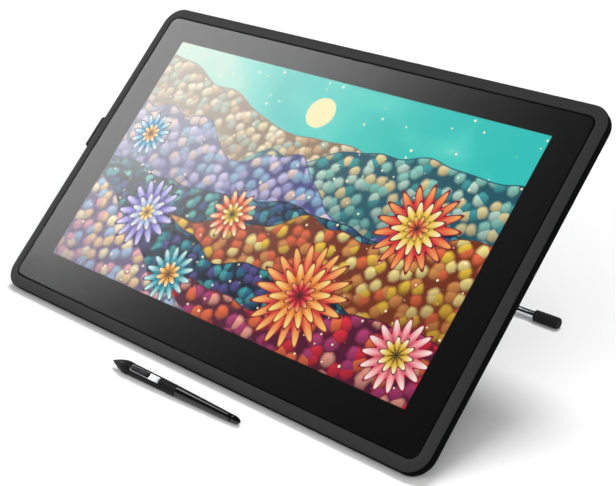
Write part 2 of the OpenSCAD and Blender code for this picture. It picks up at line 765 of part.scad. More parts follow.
// Flanged bronze bushes in the bracket's ears
module hinge_bushes() color("#b08d4f") at_hinge()
    for (s = [-1, 1]) mirror([s < 0 ? 1 : 0, 0, 0]) difference() {
    union() {
        rod(shaft_r + bush_wall, ear_gap_half, ear_gap_half + bracket_ear_t + bush_flange_t);
        rod(shaft_r + bush_wall + bush_flange, ear_gap_half + bracket_ear_t,
            ear_gap_half + bracket_ear_t + bush_flange_t);
    }
    rod(shaft_r + running, 0, shaft_half);
}

module lever_pin() color("#c9ccd0") at_hinge() translate([0, pin_y, pin_z]) {
    rod(pin_r, -ear_gap_half - bracket_ear_t - 1, ear_gap_half + bracket_ear_t + 1);
    for (s = [-1, 1]) translate([s * (ear_gap_half + bracket_ear_t + 1), 0, 0]) rod(pin_r + 1.2, -0.9, 0.9);
}

// Points along the spring, from the lever to the bracket, with flat end turns
spring_len = hinge_drop - spring_floor - 2 * (spring_wire_r + spring_play);
spring_rings = 12;
function spring_point(i) =
    let (n = spring_turns * spring_rings, t = i / n)
    [spring_r * cos(360 * i / spring_rings), spring_r * sin(360 * i / spring_rings),
        spring_len * (t - sin(360 * t) / 12)];

// Tube of six sides through the spring's points
module spring_tube() {
    n = spring_turns * spring_rings;
    sides = 6;
    points = [for (i = [0:n]) let (p = spring_point(i), a = 360 * i / spring_rings) for (k = [0:sides - 1])
        p + spring_wire_r * [cos(a) * cos(60 * k), sin(a) * cos(60 * k), sin(60 * k)]];
    walls = [for (i = [0:n - 1], k = [0:sides - 1])
        let (a = i * sides + k, b = i * sides + (k + 1) % sides)
        each [[a, b, b + sides], [a, b + sides, a + sides]]];
    ends = [for (k = [1:sides - 2]) each [[0, k + 1, k], [n * sides, n * sides + k, n * sides + k + 1]]];
    polyhedron(points, concat(walls, ends));
}

// Least distance between neighbouring turns of the spring, less its wire
spring_steps = [for (i = [0:(spring_turns - 1) * spring_rings])
    norm(spring_point(i + spring_rings) - spring_point(i)) - 2 * spring_wire_r];
echo(least_spring_gap = min(spring_steps));

module lever_spring() color("#d5d8db") at_hinge()
    translate([0, spring_y, spring_floor + spring_wire_r + spring_play]) spring_tube();

// Point at a distance and an angle from the hinge axis
function polar(r, a) = [r * cos(a), r * sin(a)];

// Lever: its upper end is pressed towards the display, which lifts its lower end off the drum
module release_lever() color("#232325") at_hinge() difference() {
    across(-lever_half, lever_half) difference() {
        union() {
            translate([pin_y, pin_z]) circle(lever_hub_r);
            lever_outline();
        }
        translate([pin_y, pin_z]) circle(pin_r + running);
        circle(drum_r + shoe_gap + shoe_t + seat);
    }
    translate([0, spring_y, 0]) bar(spring_r + 1, spring_floor, hinge_drop);
}

// Outline of the lever: its heel round the shoe, then the paddle, which bends back at its knee
module lever_outline() {
    heel_r = drum_r + shoe_gap + shoe_t + heel_t;
    knee = [pin_y + paddle_knee, spring_floor];
    polygon([[pin_y, pin_z + lever_hub_r], polar(heel_r, shoe_to + 8), polar(drum_r, shoe_to),
        polar(drum_r, shoe_from), polar(heel_r, shoe_from - 6), polar(heel_r + 1.5, shoe_from + 12),
        [pin_y, pin_z - lever_hub_r], knee - [1, paddle_t], [lever_top - 3, -8.4], [lever_top, -7.4],
        [lever_top - 1, -4], knee]);
}

module brake_shoe() color("#6b4a33") at_hinge() across(-lever_half + 1, lever_half - 1) intersection() {
    difference() {
        circle(drum_r + shoe_gap + shoe_t);
        circle(drum_r + shoe_gap);
    }
    polygon([[0, 0], polar(4 * drum_r, shoe_from), polar(4 * drum_r, (shoe_from + shoe_to) / 2),
        polar(4 * drum_r, shoe_to)]);
}

module hinge_shaft() color("#b4b7bb") on_leg() rod(shaft_r, -shaft_half, shaft_half);

module shaft_clips() color("#4a4a4d") on_leg() for (s = [-1, 1]) mirror([s < 0 ? 1 : 0, 0, 0]) difference() {
    rod(clip_r, shaft_half - clip_t - 0.8, shaft_half - 0.8);
    rod(shaft_r + seat, 0, shaft_half + 1);
}

module brake_drum() color("#8d9094") on_leg() difference() {
    rod(drum_r, -drum_half, drum_half);
    rod(shaft_r + seat, -drum_half - 1, drum_half + 1);
}

// Leg: pressed steel fork with turned-up sides, two stiffening ribs, and knuckles on the shaft
module leg_plate() color("#2f2f32") on_leg() difference() {
    union() {
        translate([0, 0, -sheet_t / 2]) linear_extrude(sheet_t) leg_outline(0);
        translate([0, 0, -leg_flange - sheet_t / 2]) linear_extrude(leg_flange + sheet_t) difference() {
            leg_outline(0);
            leg_outline(sheet_t);
            translate([-body_w / 2, leg_len - leg_foot_len]) square([body_w, leg_foot_len]);
            translate([-body_w / 2, -1]) square([body_w, knuckle_r + 4]);
            translate([-leg_shoulder / 2, 0]) square([leg_shoulder, fork_len + sheet_t]);
            translate([-fork_half - sheet_t - past, 0]) square([2 * (fork_half + sheet_t + past), leg_len]);
        }
        for (s = [-1, 1]) translate([s * rib_x, 0, sheet_t / 2 - seat]) linear_extrude(rib_proud) {
            for (y = [rib_from, rib_to]) translate([0, y]) circle(rib_r);
            translate([-rib_r, rib_from]) square([2 * rib_r, rib_to - rib_from]);
        }
        for (s = [-1, 1]) rod(knuckle_r, min(s * fork_half, s * (fork_half + knuckle_len)),
            max(s * fork_half, s * (fork_half + knuckle_len)));
    }
    rod(shaft_r + seat, -body_w / 2, body_w / 2);
    translate([0, leg_len, 0]) rod(tube_r + seat, -body_w / 2, body_w / 2);
}

// Outline of the leg, drawn in by an inset on its sides
module leg_outline(inset) {
    side = [[fork_half + knuckle_len - inset, 0], [fork_half + knuckle_len - inset, leg_shoulder],
        [leg_foot_half - inset, leg_len - leg_foot_len], [leg_foot_half - inset, leg_len]];
    fork = [[fork_half, fork_len], [fork_half, 0]];
    polygon(concat(side, [for (i = [3:-1:0]) [-side[i].x, side[i].y]],
        [[-fork_half, 0], [-fork_half, fork_len]], fork));
}

module foot_tube() color("#d9dcdf") on_leg() translate([0, leg_len, 0]) difference() {
    rod(tube_r, -foot_half + sleeve_end, foot_half - sleeve_end);
    rod(tube_r - tube_wall, -foot_half, foot_half);
}

// Rubber sleeve with a closed, rounded end
module sleeve() difference() {
    union() {
        rod(sleeve_r, foot_half - sleeve_len, foot_half - sleeve_edge_r);
        rod(sleeve_r - sleeve_edge_r, foot_half - sleeve_edge_r - past, foot_half);
        translate([foot_half - sleeve_edge_r, 0, 0]) rotate([0, 90, 0]) rotate_extrude()
            translate([sleeve_r - sleeve_edge_r, 0]) circle(sleeve_edge_r);
    }
    rod(tube_r + seat, 0, foot_half - sleeve_end + seat);
}

module foot_sleeve_left() color("#1b1b1c") on_leg() translate([0, leg_len, 0]) mirror([1, 0, 0]) sleeve();

module foot_sleeve_right() color("#1b1b1c") on_leg() translate([0, leg_len, 0]) sleeve();

// Nose: a slightly swollen cone with the nib's bore and a room for the coil
module pen_nose() color("#19191b") on_desk() {
    steps = 8;
    outside = [for (i = [0:steps]) let (x = nib_out + (nose_len - nib_out) * i / steps) [nose_r(x), x]];
    turned(concat(outside, [[pen_bore_r, nose_len], [pen_bore_r, coil_from], [nib_r + 2 * running, coil_from],
        [nib_r + 2 * running, nib_out]]));
}

module pen_nib() color("#0f0f10") on_desk()
    turned([[0, 0], [nib_r * 0.55, 0.2], [nib_r, 1.4], [nib_r, nib_len], [0, nib_len]]);

module pen_coil() color("#9a5b2e") on_desk()
    turned([[pen_bore_r - coil_wall, coil_from + seat], [pen_bore_r - seat, coil_from + seat],
        [pen_bore_r - seat, coil_to], [pen_bore_r - coil_wall, coil_to]]);

module pen_force_sensor() color("#55585c") on_desk()
    rod(pen_bore_r - seat, nib_len + nib_gap, nib_len + nib_gap + pen_sensor_len);

module pen_board() color("#1f5a3c") on_desk() {
    from = nib_len + nib_gap + pen_sensor_len;
    to = pen_tail_x - eraser_stem_len - eraser_gap;
    translate([(from + to) / 2, 0, 0]) cube([to - from, pen_board_w, pen_board_t], center = true);
}

// Rubber grip: a shoulder with fine rings, then a straight taper, with a pocket for the side switch
module pen_grip() color("#202022") on_desk() difference() {
    rings = [for (i = [0:ring_count - 1]) let (x = ring_from + i * ring_step)
        each [[shoulder_r(x), x], [shoulder_r(x) - ring_depth, x + ring_w / 2], [shoulder_r(x), x + ring_w]]];
    turned(concat([[pen_bore_r, nose_len], [nose_end_r, nose_len], [pen_r, pen_wide_x]], rings,
        [[pen_front_r, shoulder_end_x], [pen_mid_r, grip_end_x], [pen_bore_r, grip_end_x]]));
    translate([0, 0, plate_z()]) linear_extrude(pen_r) plate_outline(plate_from, plate_len, plate_w, seat);
    translate([0, 0, rocker_z() - rocker_play]) linear_extrude(pen_r)
        plate_outline(rocker_from, rocker_len, rocker_w, rocker_gap);
}

// Height of the switch plate's underside, and of the rocker's
function plate_z() =
    sqrt(pow(taper_r(plate_from + plate_len), 2) - pow(plate_w / 2, 2)) + plate_proud - plate_t;
function rocker_z() = plate_z() + plate_t + rocker_proud - rocker_t;

// Outline of a plate with a round front end, grown by a gap
module plate_outline(from, length, w, gap) {
    translate([from + w / 2, 0]) circle(w / 2 + gap);
    translate([from + w / 2, -w / 2 - gap]) square([length - w / 2 + gap, w + 2 * gap]);
}

module pen_switch_plate() color("#d2d5d8") on_desk() difference() {
    translate([0, 0, plate_z()]) linear_extrude(plate_t) plate_outline(plate_from, plate_len, plate_w, 0);
    translate([0, 0, plate_z() - 1]) linear_extrude(plate_t + 2)
        plate_outline(rocker_from, rocker_len, rocker_w, rocker_gap);
    rocker_pivot() cylinder(r = rocker_pin_r + seat, h = plate_w - 2 * rocker_pin_wall, center = true);
}

// Puts the rocker's pin across the middle of the rocker
module rocker_pivot()
    translate([rocker_from + rocker_len / 2, 0, plate_z() + plate_t / 2]) rotate([90, 0, 0]) children();

// Rocker with two pads and a dip between them
module pen_switch() color("#2e2e31") on_desk() difference() {
    translate([0, 0, rocker_z()]) linear_extrude(rocker_t)
        plate_outline(rocker_from, rocker_len, rocker_w, 0);
    translate([rocker_from + rocker_len / 2, 0, rocker_z() + rocker_t + rocker_dip_r - rocker_dip])
        rotate([90, 0, 0]) cylinder(r = rocker_dip_r, h = rocker_w + 1, center = true);
    rocker_pivot() cylinder(r = rocker_pin_r + running, h = rocker_w + 1, center = true);
}

module pen_switch_pin() color("#c9ccd0") on_desk()
    rocker_pivot() cylinder(r = rocker_pin_r, h = plate_w - 2 * rocker_pin_wall - 2 * seat, center = true);

module pen_barrel() color("#101011") on_desk()
    turned([[pen_bore_r, grip_end_x], [pen_mid_r, grip_end_x], [pen_tail_r, pen_tail_x],
        [eraser_stem_r + 2 * running, pen_tail_x],
        [eraser_stem_r + 2 * running, pen_tail_x - eraser_stem_len],
        [pen_bore_r, pen_tail_x - eraser_stem_len]]);

// Tail switch: a long domed cap on a stem that slides in the barrel
module pen_eraser() color("#161617") on_desk() {
    cap_r = pen_tail_r - 0.1;
    from = pen_tail_x + eraser_gap;
    dome_len = pen_len - from - eraser_rim;
    dome = [for (a = [0:10:90]) [max(cap_r * cos(a), 0), pen_len - dome_len + dome_len * sin(a)]];
    turned(concat([[0, pen_tail_x - eraser_stem_len + eraser_gap],
        [eraser_stem_r, pen_tail_x - eraser_stem_len + eraser_gap], [eraser_stem_r, from],
        [cap_r, from]], dome));
}

front_bezel();
cover_glass();
glass_mask();
glass_gasket();
lcd_panel();
backlight();
panel_tray();
pen_sensor_sheet();
chassis_plate();
chassis_screws();
main_board();
board_chips();
board_screws();
led_driver_board();
panel_cable();
hdmi_socket();
usb_socket();
dc_socket();
rear_cover();
case_screws();
arm_inserts();
lock_plate();
foot_strip();
power_button();
button_board();
power_light();
pen_holder();
holder_blank();
stand_bracket();
stand_screws();
hinge_bushes();
lever_pin();
lever_spring();
release_lever();
brake_shoe();
hinge_shaft();
shaft_clips();
brake_drum();
leg_plate();
foot_tube();
foot_sleeve_left();
foot_sleeve_right();
pen_nose();
pen_nib();
pen_coil();
pen_force_sensor();
pen_board();
pen_grip();
pen_switch_plate();
pen_switch();
pen_switch_pin();
pen_barrel();
pen_eraser();
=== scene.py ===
import json
import math

import bmesh
import bpy
import numpy as np
from mathutils import Matrix, Vector


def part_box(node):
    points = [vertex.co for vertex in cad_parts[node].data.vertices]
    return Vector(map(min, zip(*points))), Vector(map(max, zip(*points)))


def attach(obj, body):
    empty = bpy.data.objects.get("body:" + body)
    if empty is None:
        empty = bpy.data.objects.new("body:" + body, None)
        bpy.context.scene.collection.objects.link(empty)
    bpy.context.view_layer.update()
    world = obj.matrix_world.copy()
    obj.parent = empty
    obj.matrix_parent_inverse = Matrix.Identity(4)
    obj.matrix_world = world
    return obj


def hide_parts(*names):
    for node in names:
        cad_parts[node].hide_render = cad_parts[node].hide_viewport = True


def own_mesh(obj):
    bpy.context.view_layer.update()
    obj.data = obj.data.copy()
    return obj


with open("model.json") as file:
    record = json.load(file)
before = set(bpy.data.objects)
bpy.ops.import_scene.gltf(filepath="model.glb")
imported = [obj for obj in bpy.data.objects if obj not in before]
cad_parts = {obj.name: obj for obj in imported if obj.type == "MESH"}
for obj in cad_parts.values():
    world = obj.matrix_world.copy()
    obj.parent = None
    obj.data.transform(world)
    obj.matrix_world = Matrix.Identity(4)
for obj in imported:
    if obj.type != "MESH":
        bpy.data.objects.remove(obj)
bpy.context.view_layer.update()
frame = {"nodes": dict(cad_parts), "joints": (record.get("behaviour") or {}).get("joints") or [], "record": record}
nodes = frame["nodes"]
joints = {joint["name"]: joint for joint in frame["joints"]}
mounts = {mount["name"]: mount for mount in frame["record"]["mounts"]}
scene = bpy.context.scene
mm = 0.001
print("frame loaded:", len(nodes), "nodes")

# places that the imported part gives
backDepth = 40.5 * mm  # from the bezel's front to the raised back, where the arm holes are
faceOut = -Vector(mounts["arm_holes"]["axis"]).normalized()  # out of the glass
faceUp = Vector((0, faceOut.z, -faceOut.y))  # up the glass
faceMid = Vector(mounts["arm_holes"]["pos_m"]) + faceOut * backDepth
tilt = math.acos(faceOut.z)
penAlong = Vector(joints["nib_press"]["axis"]).normalized()  # nib to tail
penSide = Vector(joints["side_switch_rock"]["axis"]).normalized()
penUp = penAlong.cross(penSide)  # out of the side switch


# millimetres along three axes from a point, to metres in the frame
def placed(points, origin, *axes):
    return np.asarray(points, float) * mm @ np.array([tuple(a) for a in axes]) + np.array(origin)


# display millimetres: x right, y up the glass, z out of it
def onDisplay(points):
    return placed(points, faceMid, (1, 0, 0), faceUp, faceOut)


# sRGB hex to linear
def hexLinear(code):
    parts = [int(code[i:i + 2], 16) / 255 for i in (1, 3, 5)]
    return [p / 12.92 if p <= 0.04045 else ((p + 0.055) / 1.055) ** 2.4 for p in parts] + [1.0]


# adds a node: inputs are set, or linked where the value is a socket
def addNode(tree, kind, inputs=None, **settings):
    node = tree.nodes.new("ShaderNode" + kind)
    for key, value in settings.items():
        setattr(node, key, value)
    for key, value in (inputs or {}).items():
        if isinstance(value, bpy.types.NodeSocket):
            tree.links.new(value, node.inputs[key])
        else:
            node.inputs[key].default_value = value
    return node


def newMaterial(name):
    material = bpy.data.materials.new(name)
    material.use_nodes = True
    material.node_tree.nodes.clear()
    return material, material.node_tree


# rows and columns of points become quads: doubles are merged, so that poles and seams close, and faces are
# turned outwards
def putSurface(name, points, closeRows=False, closeColumns=False, sharp=35):
    rows, columns = points.shape[:2]
    index = np.arange(rows * columns).reshape(rows, columns)
    nextRow = np.roll(index, -1, axis=0)
    quads = np.stack([index, np.roll(index, -1, axis=1), np.roll(nextRow, -1, axis=1), nextRow], axis=-1)
    quads = quads if closeRows else quads[:-1]
    quads = quads if closeColumns else quads[:, :-1]
    mesh = bpy.data.meshes.new(name)
    mesh.from_pydata(points.reshape(-1, 3).tolist(), [], quads.reshape(-1, 4).tolist())
    shape = bmesh.new()
    shape.from_mesh(mesh)
    bmesh.ops.remove_doubles(shape, verts=shape.verts, dist=1e-7)
    bmesh.ops.recalc_face_normals(shape, faces=shape.faces)
    shape.to_mesh(mesh)
    shape.free()
    mesh.polygons.foreach_set("use_smooth", np.ones(len(mesh.polygons), bool))
    mesh.set_sharp_from_angle(angle=math.radians(sharp))
    piece = bpy.data.objects.new(name, mesh)
    scene.collection.objects.link(piece)
    return piece


# a piece in place of CAD nodes: it rides on their body and takes the given material
def dress(piece, body, slot, material, *replaced):
    piece.data.materials.append(material)
    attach(piece, body)
    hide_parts(*replaced)
    print("piece:", piece.name, len(piece.data.polygons), "faces")


# camera, as fitted to the picture's corners and the line round the glass in the photograph
view = {"spot": (848.588, -742.202, 591.473), "along": (-0.63598, 0.66926, -0.38420), "lens": 79.071,
        "sensor": 36, "far": 50}
cameraData = bpy.data.cameras.new("camera")
cameraData.sensor_width = view["sensor"]
cameraData.lens = view["lens"]
cameraData.clip_end = view["far"]
camera = bpy.data.objects.new("camera", cameraData)
camera.location = Vector(view["spot"]) * mm
camera.rotation_euler = Vector(view["along"]).to_track_quat("-Z", "Y").to_euler()
scene.collection.objects.link(camera)
scene.camera = camera
print("camera set")

# studio: white paper under a light from above and behind, a broad one from the front right and a dim room;
# near fills at the front left and behind are shaded from the paper; a tall softbox on the left shows only as
# the soft gleam on the glass, the pen and the chrome
studio = {
    "floorColour": "#f4f4f4", "floorSecond": "#666666", "floorLift": 0.03, "floorBounce": "#6c6c6c",
    "floorHalf": 9.0,
    "mainFrom": (-0.09, 0.34, 0.94), "mainStrength": 1.72, "mainAngle": 20,
    "sideFrom": (0.53, -0.63, 0.57), "sideStrength": 2.3, "sideAngle": 80,
    "fillSpot": (-0.74, -0.84, 0.11), "fillAim": (0, 0.08, 0.12), "fillSize": 0.4, "fillWatts": 9.0,
    "rearSpot": (-0.35, 1.30, 0.30), "rearAim": (0, 0.18, 0.10), "rearSize": 0.9, "rearWatts": 10.0,
    "room": 0.05, "roomSeen": 0.032, "roomLow": 0.12, "roomHigh": 0.42,
    "boxSpot": (-1.390, -0.027, 1.218), "boxFace": (0.64275, 0.37668, -0.66707),
    "boxWide": (-0.61932, 0.76801, -0.16307), "boxSize": (0.876, 1.324), "boxWatts": 17.9,
}


# paper: matte white in two coats where it is seen, so that it ends in white and keeps the shadow; it throws
# less light back up than it shows
def whitePaper():
    material, tree = newMaterial("whitePaper")
    path = addNode(tree, "LightPath").outputs
    matte = addNode(tree, "BsdfDiffuse", {"Color": hexLinear(studio["floorColour"])})
    second = addNode(tree, "BsdfDiffuse", {"Color": hexLinear(studio["floorSecond"])})
    coats = addNode(tree, "AddShader", {0: matte.outputs[0], 1: second.outputs[0]})
    glow = addNode(tree, "Emission", {"Strength": studio["floorLift"]})
    both = addNode(tree, "AddShader", {0: coats.outputs[0], 1: glow.outputs[0]})
    dim = addNode(tree, "BsdfDiffuse", {"Color": hexLinear(studio["floorBounce"])})
    mirrored = addNode(tree, "Math", {0: path["Is Camera Ray"], 1: path["Is Glossy Ray"]},
                       operation="MAXIMUM")
    seen = addNode(tree, "Math", {0: mirrored.outputs[0], 1: path["Is Transmission Ray"]},
                   operation="MAXIMUM")
    paper = addNode(tree, "MixShader", {0: seen.outputs[0], 1: dim.outputs[0], 2: both.outputs[0]})
    addNode(tree, "OutputMaterial", {"Surface": paper.outputs[0]})
    material.cycles.emission_sampling = "NONE"
    return material


floorEnds = (-studio["floorHalf"], studio["floorHalf"])
floor = putSurface("floor", np.array([[(x, y, 0) for x in floorEnds] for y in floorEnds]))
floor.data.materials.append(whitePaper())

boxData = bpy.data.lights.new("softbox", "AREA")
boxData.shape = "RECTANGLE"
boxData.size, boxData.size_y = studio["boxSize"]
boxData.energy = studio["boxWatts"]
boxWide, boxFace = Vector(studio["boxWide"]).normalized(), Vector(studio["boxFace"]).normalized()
softbox = bpy.data.objects.new("softbox", boxData)
softbox.rotation_euler = Matrix((boxWide, boxWide.cross(boxFace), -boxFace)).transposed().to_euler()
softbox.location = studio["boxSpot"]
softbox.visible_diffuse = False
softbox.visible_camera = False
softbox.visible_transmission = False
scene.collection.objects.link(softbox)

for lampName in ("main", "side"):
    lampData = bpy.data.lights.new(lampName + "Light", "SUN")
    lampData.energy = studio[lampName + "Strength"]
    lampData.angle = math.radians(studio[lampName + "Angle"])
    lamp = bpy.data.objects.new(lampName + "Light", lampData)
    lamp.rotation_euler = (-Vector(studio[lampName + "From"])).to_track_quat("-Z", "Y").to_euler()
    lamp.visible_glossy = False
    scene.collection.objects.link(lamp)

unfilled = bpy.data.collections.new("shadedFromFill")
unfilled.objects.link(floor)
unfilled.collection_objects[0].light_linking.link_state = "EXCLUDE"
for lampName in ("fill", "rear"):
    lampData = bpy.data.lights.new(lampName + "Light", "AREA")
    lampData.shape = "DISK"
    lampData.size = studio[lampName + "Size"]
    lampData.energy = studio[lampName + "Watts"]
    lamp = bpy.data.objects.new(lampName + "Light", lampData)
    lamp.location = studio[lampName + "Spot"]
    aim = Vector(studio[lampName + "Aim"]) - lamp.location
    lamp.rotation_euler = aim.to_track_quat("-Z", "Y").to_euler()
    lamp.visible_glossy = False
    lamp.visible_camera = False
    lamp.light_linking.receiver_collection = unfilled
    scene.collection.objects.link(lamp)

# room: white where it is seen directly; in reflections white near the floor line and dim above it
scene.world = bpy.data.worlds.new("studio")
scene.world.use_nodes = True
room = scene.world.node_tree
room.nodes.clear()
roomPath = addNode(room, "LightPath").outputs
roomSpot = addNode(room, "TexCoord")
roomParts = addNode(room, "SeparateXYZ", {0: roomSpot.outputs["Generated"]})
roomGrade = addNode(room, "MapRange", {
    "Value": roomParts.outputs["Z"], "From Min": studio["roomLow"], "From Max": studio["roomHigh"],
    "To Min": 1.0, "To Max": studio["roomSeen"]})
direct = addNode(room, "Math", {0: roomPath["Is Camera Ray"], 1: roomPath["Is Transmission Ray"]},
                 operation="MAXIMUM")
plain = addNode(room, "Mix", {
    0: roomPath["Is Glossy Ray"], 2: studio["room"], 3: roomGrade.outputs["Result"]})
level = addNode(room, "Mix", {0: direct.outputs[0], 2: plain.outputs[0], 3: 1.0})
backdrop = addNode(room, "Background", {"Color": (1, 1, 1, 1), "Strength": level.outputs[0]})
addNode(room, "OutputWorld", {"Surface": backdrop.outputs[0]})
scene.view_settings.view_transform = "Standard"
print("studio set")


# the two ends of a ramp are one colour times a dark and a bright share
def mottle(ramp, colour, shares):
    for stop, share in zip(ramp.color_ramp.elements, shares):
        stop.color = [c * share for c in hexLinear(colour)[:3]] + [1]


# colours at equal steps along a ramp
def rampColours(ramp, codes):
    stops = ramp.color_ramp.elements
    for i, code in enumerate(codes):
        stop = stops[i] if i < 2 else stops.new(1.0)
        stop.color = hexLinear(code)
    for i, stop in enumerate(stops):
        stop.position = i / (len(codes) - 1)


# moulded ABS with a fine spark-eroded grain: matte, with a faint sheen that varies in soft patches and edges
# that the mould leaves slightly round; the real grain is near 0.1 mm and is drawn coarser so that it shows
plastic = {"patch": 60, "sheen": 0.06, "mottle": (0.84, 1.16), "edge": 0.4, "pit": 0.1}


def mouldedPlastic(name, colour, rough, grain, bump, gloss=0.3):
    material, tree = newMaterial(name)
    spot = addNode(tree, "TexCoord").outputs["Object"]
    pits = addNode(tree, "TexNoise", {"Vector": spot, "Scale": 1 / (grain * mm), "Detail": 3.0})
    patches = addNode(tree, "TexNoise", {"Vector": spot, "Scale": 1 / (plastic["patch"] * mm), "Detail": 2.0})
    dull = addNode(tree, "MapRange", {
        "Value": patches.outputs["Fac"],
        "To Min": rough - plastic["sheen"], "To Max": rough + plastic["sheen"]})
    shades = addNode(tree, "ValToRGB", {"Fac": pits.outputs["Fac"]})
    mottle(shades, colour, plastic["mottle"])
    soft = addNode(tree, "Bevel", {"Radius": plastic["edge"] * mm}, samples=4)
    relief = addNode(tree, "Bump", {
        "Height": pits.outputs["Fac"], "Strength": bump, "Distance": plastic["pit"] * mm,
        "Normal": soft.outputs["Normal"]})
    skin = addNode(tree, "BsdfPrincipled", {
        "Base Color": shades.outputs["Color"], "Roughness": dull.outputs["Result"], "IOR": 1.5,
        "Specular IOR Level": gloss, "Normal": relief.outputs["Normal"]})
    addNode(tree, "OutputMaterial", {"Surface": skin.outputs[0]})
    return material


# black rubber: very matte, slightly mottled, with a fine tooth
rubber = {"mottle": (0.75, 1.3), "bump": 0.2, "pit": 0.12}


def blackRubber(name, colour, rough, tooth, gloss=0.3):
    material, tree = newMaterial(name)
    spot = addNode(tree, "TexCoord").outputs["Object"]
    grit = addNode(tree, "TexNoise", {"Vector": spot, "Scale": 1 / (tooth * mm), "Detail": 4.0})
    shades = addNode(tree, "ValToRGB", {"Fac": grit.outputs["Fac"]})
    mottle(shades, colour, rubber["mottle"])
    relief = addNode(tree, "Bump", {
        "Height": grit.outputs["Fac"], "Strength": rubber["bump"], "Distance": rubber["pit"] * mm})
    skin = addNode(tree, "BsdfPrincipled", {
        "Base Color": shades.outputs["Color"], "Roughness": rough, "IOR": 1.52, "Specular IOR Level": gloss,
        "Normal": relief.outputs["Normal"]})
    addNode(tree, "OutputMaterial", {"Surface": skin.outputs[0]})
    return material


# polished black ABS: clear dark gloss, hazed a little in soft patches by handling
polish = {"patch": 9, "haze": (0.7, 1.3)}


def polishedBlack(name, colour, rough):
    material, tree = newMaterial(name)
    spot = addNode(tree, "TexCoord").outputs["Object"]
    patches = addNode(tree, "TexNoise", {"Vector": spot, "Scale": 1 / (polish["patch"] * mm), "Detail": 1.0})
    haze = addNode(tree, "MapRange", {
        "Value": patches.outputs["Fac"],
        "To Min": rough * polish["haze"][0], "To Max": rough * polish["haze"][1]})
    skin = addNode(tree, "BsdfPrincipled", {
        "Base Color": hexLinear(colour), "Roughness": haze.outputs["Result"], "IOR": 1.5})
    addNode(tree, "OutputMaterial", {"Surface": skin.outputs[0]})
    return material


# metal: chrome plate, ground steel or bare sheet, by its roughness; fine marks run along one axis
metal = {"mark": 0.8, "edge": 0.15}


def bareMetal(name, colour, rough, stretch, spread):
    material, tree = newMaterial(name)
    spot = addNode(tree, "TexCoord")
    lay = addNode(tree, "Mapping", {"Vector": spot.outputs["Object"], "Scale": stretch})
    marks = addNode(tree, "TexNoise", {
        "Vector": lay.outputs["Vector"], "Scale": 1 / (metal["mark"] * mm), "Detail": 3.0})
    sheen = addNode(tree, "MapRange", {
        "Value": marks.outputs["Fac"], "To Min": rough - spread, "To Max": rough + spread})
    soft = addNode(tree, "Bevel", {"Radius": metal["edge"] * mm}, samples=4)
    skin = addNode(tree, "BsdfPrincipled", {
        "Base Color": hexLinear(colour), "Metallic": 1.0, "Roughness": sheen.outputs["Result"],
        "Normal": soft.outputs["Normal"]})
    addNode(tree, "OutputMaterial", {"Surface": skin.outputs[0]})
    return material


# powder coat on steel: dark, half matte, with the soft dimples of the baked powder
powder = {"dimple": 1.1, "rough": (0.42, 0.56), "edge": 0.5, "bump": 0.3, "pit": 0.15}


def powderCoat(name, colour):
    material, tree = newMaterial(name)
    spot = addNode(tree, "TexCoord").outputs["Object"]
    dimples = addNode(tree, "TexNoise", {"Vector": spot, "Scale": 1 / (powder["dimple"] * mm), "Detail": 1.5})
    soft = addNode(tree, "Bevel", {"Radius": powder["edge"] * mm}, samples=4)
    relief = addNode(tree, "Bump", {
        "Height": dimples.outputs["Fac"], "Strength": powder["bump"], "Distance": powder["pit"] * mm,
        "Normal": soft.outputs["Normal"]})
    dull = addNode(tree, "MapRange", {
        "Value": dimples.outputs["Fac"], "To Min": powder["rough"][0], "To Max": powder["rough"][1]})
    skin = addNode(tree, "BsdfPrincipled", {
        "Base Color": hexLinear(colour), "Roughness": dull.outputs["Result"], "IOR": 1.5,
        "Normal": relief.outputs["Normal"]})
    addNode(tree, "OutputMaterial", {"Surface": skin.outputs[0]})
    return material


# etched cover glass: clear, with a soft reflection on its outer side that grows towards the edge of sight
def etchedGlass():
    material, tree = newMaterial("etchedGlass")
    edge = addNode(tree, "Fresnel", {"IOR": 1.5})
    clear = addNode(tree, "BsdfTransparent", {"Color": (0.985, 0.99, 0.99, 1)})
    shine = addNode(tree, "BsdfGlossy", {"Color": (1, 1, 1, 1), "Roughness": 0.246})
    side = addNode(tree, "NewGeometry")
    share = addNode(tree, "Mix", {0: side.outputs["Backfacing"], 2: edge.outputs[0], 3: 0.0})
    both = addNode(tree, "MixShader", {0: share.outputs[0], 1: clear.outputs[0], 2: shine.outputs[0]})
    addNode(tree, "OutputMaterial", {"Surface": both.outputs[0]})
    return material


# ink printed under the glass: black, with no gloss of its own
def maskInk():
    material, tree = newMaterial("maskInk")
    skin = addNode(tree, "BsdfPrincipled", {
        "Base Color": hexLinear("#060606"), "Roughness": 0.6, "Specular IOR Level": 0.0})
    addNode(tree, "OutputMaterial", {"Surface": skin.outputs[0]})
    return material


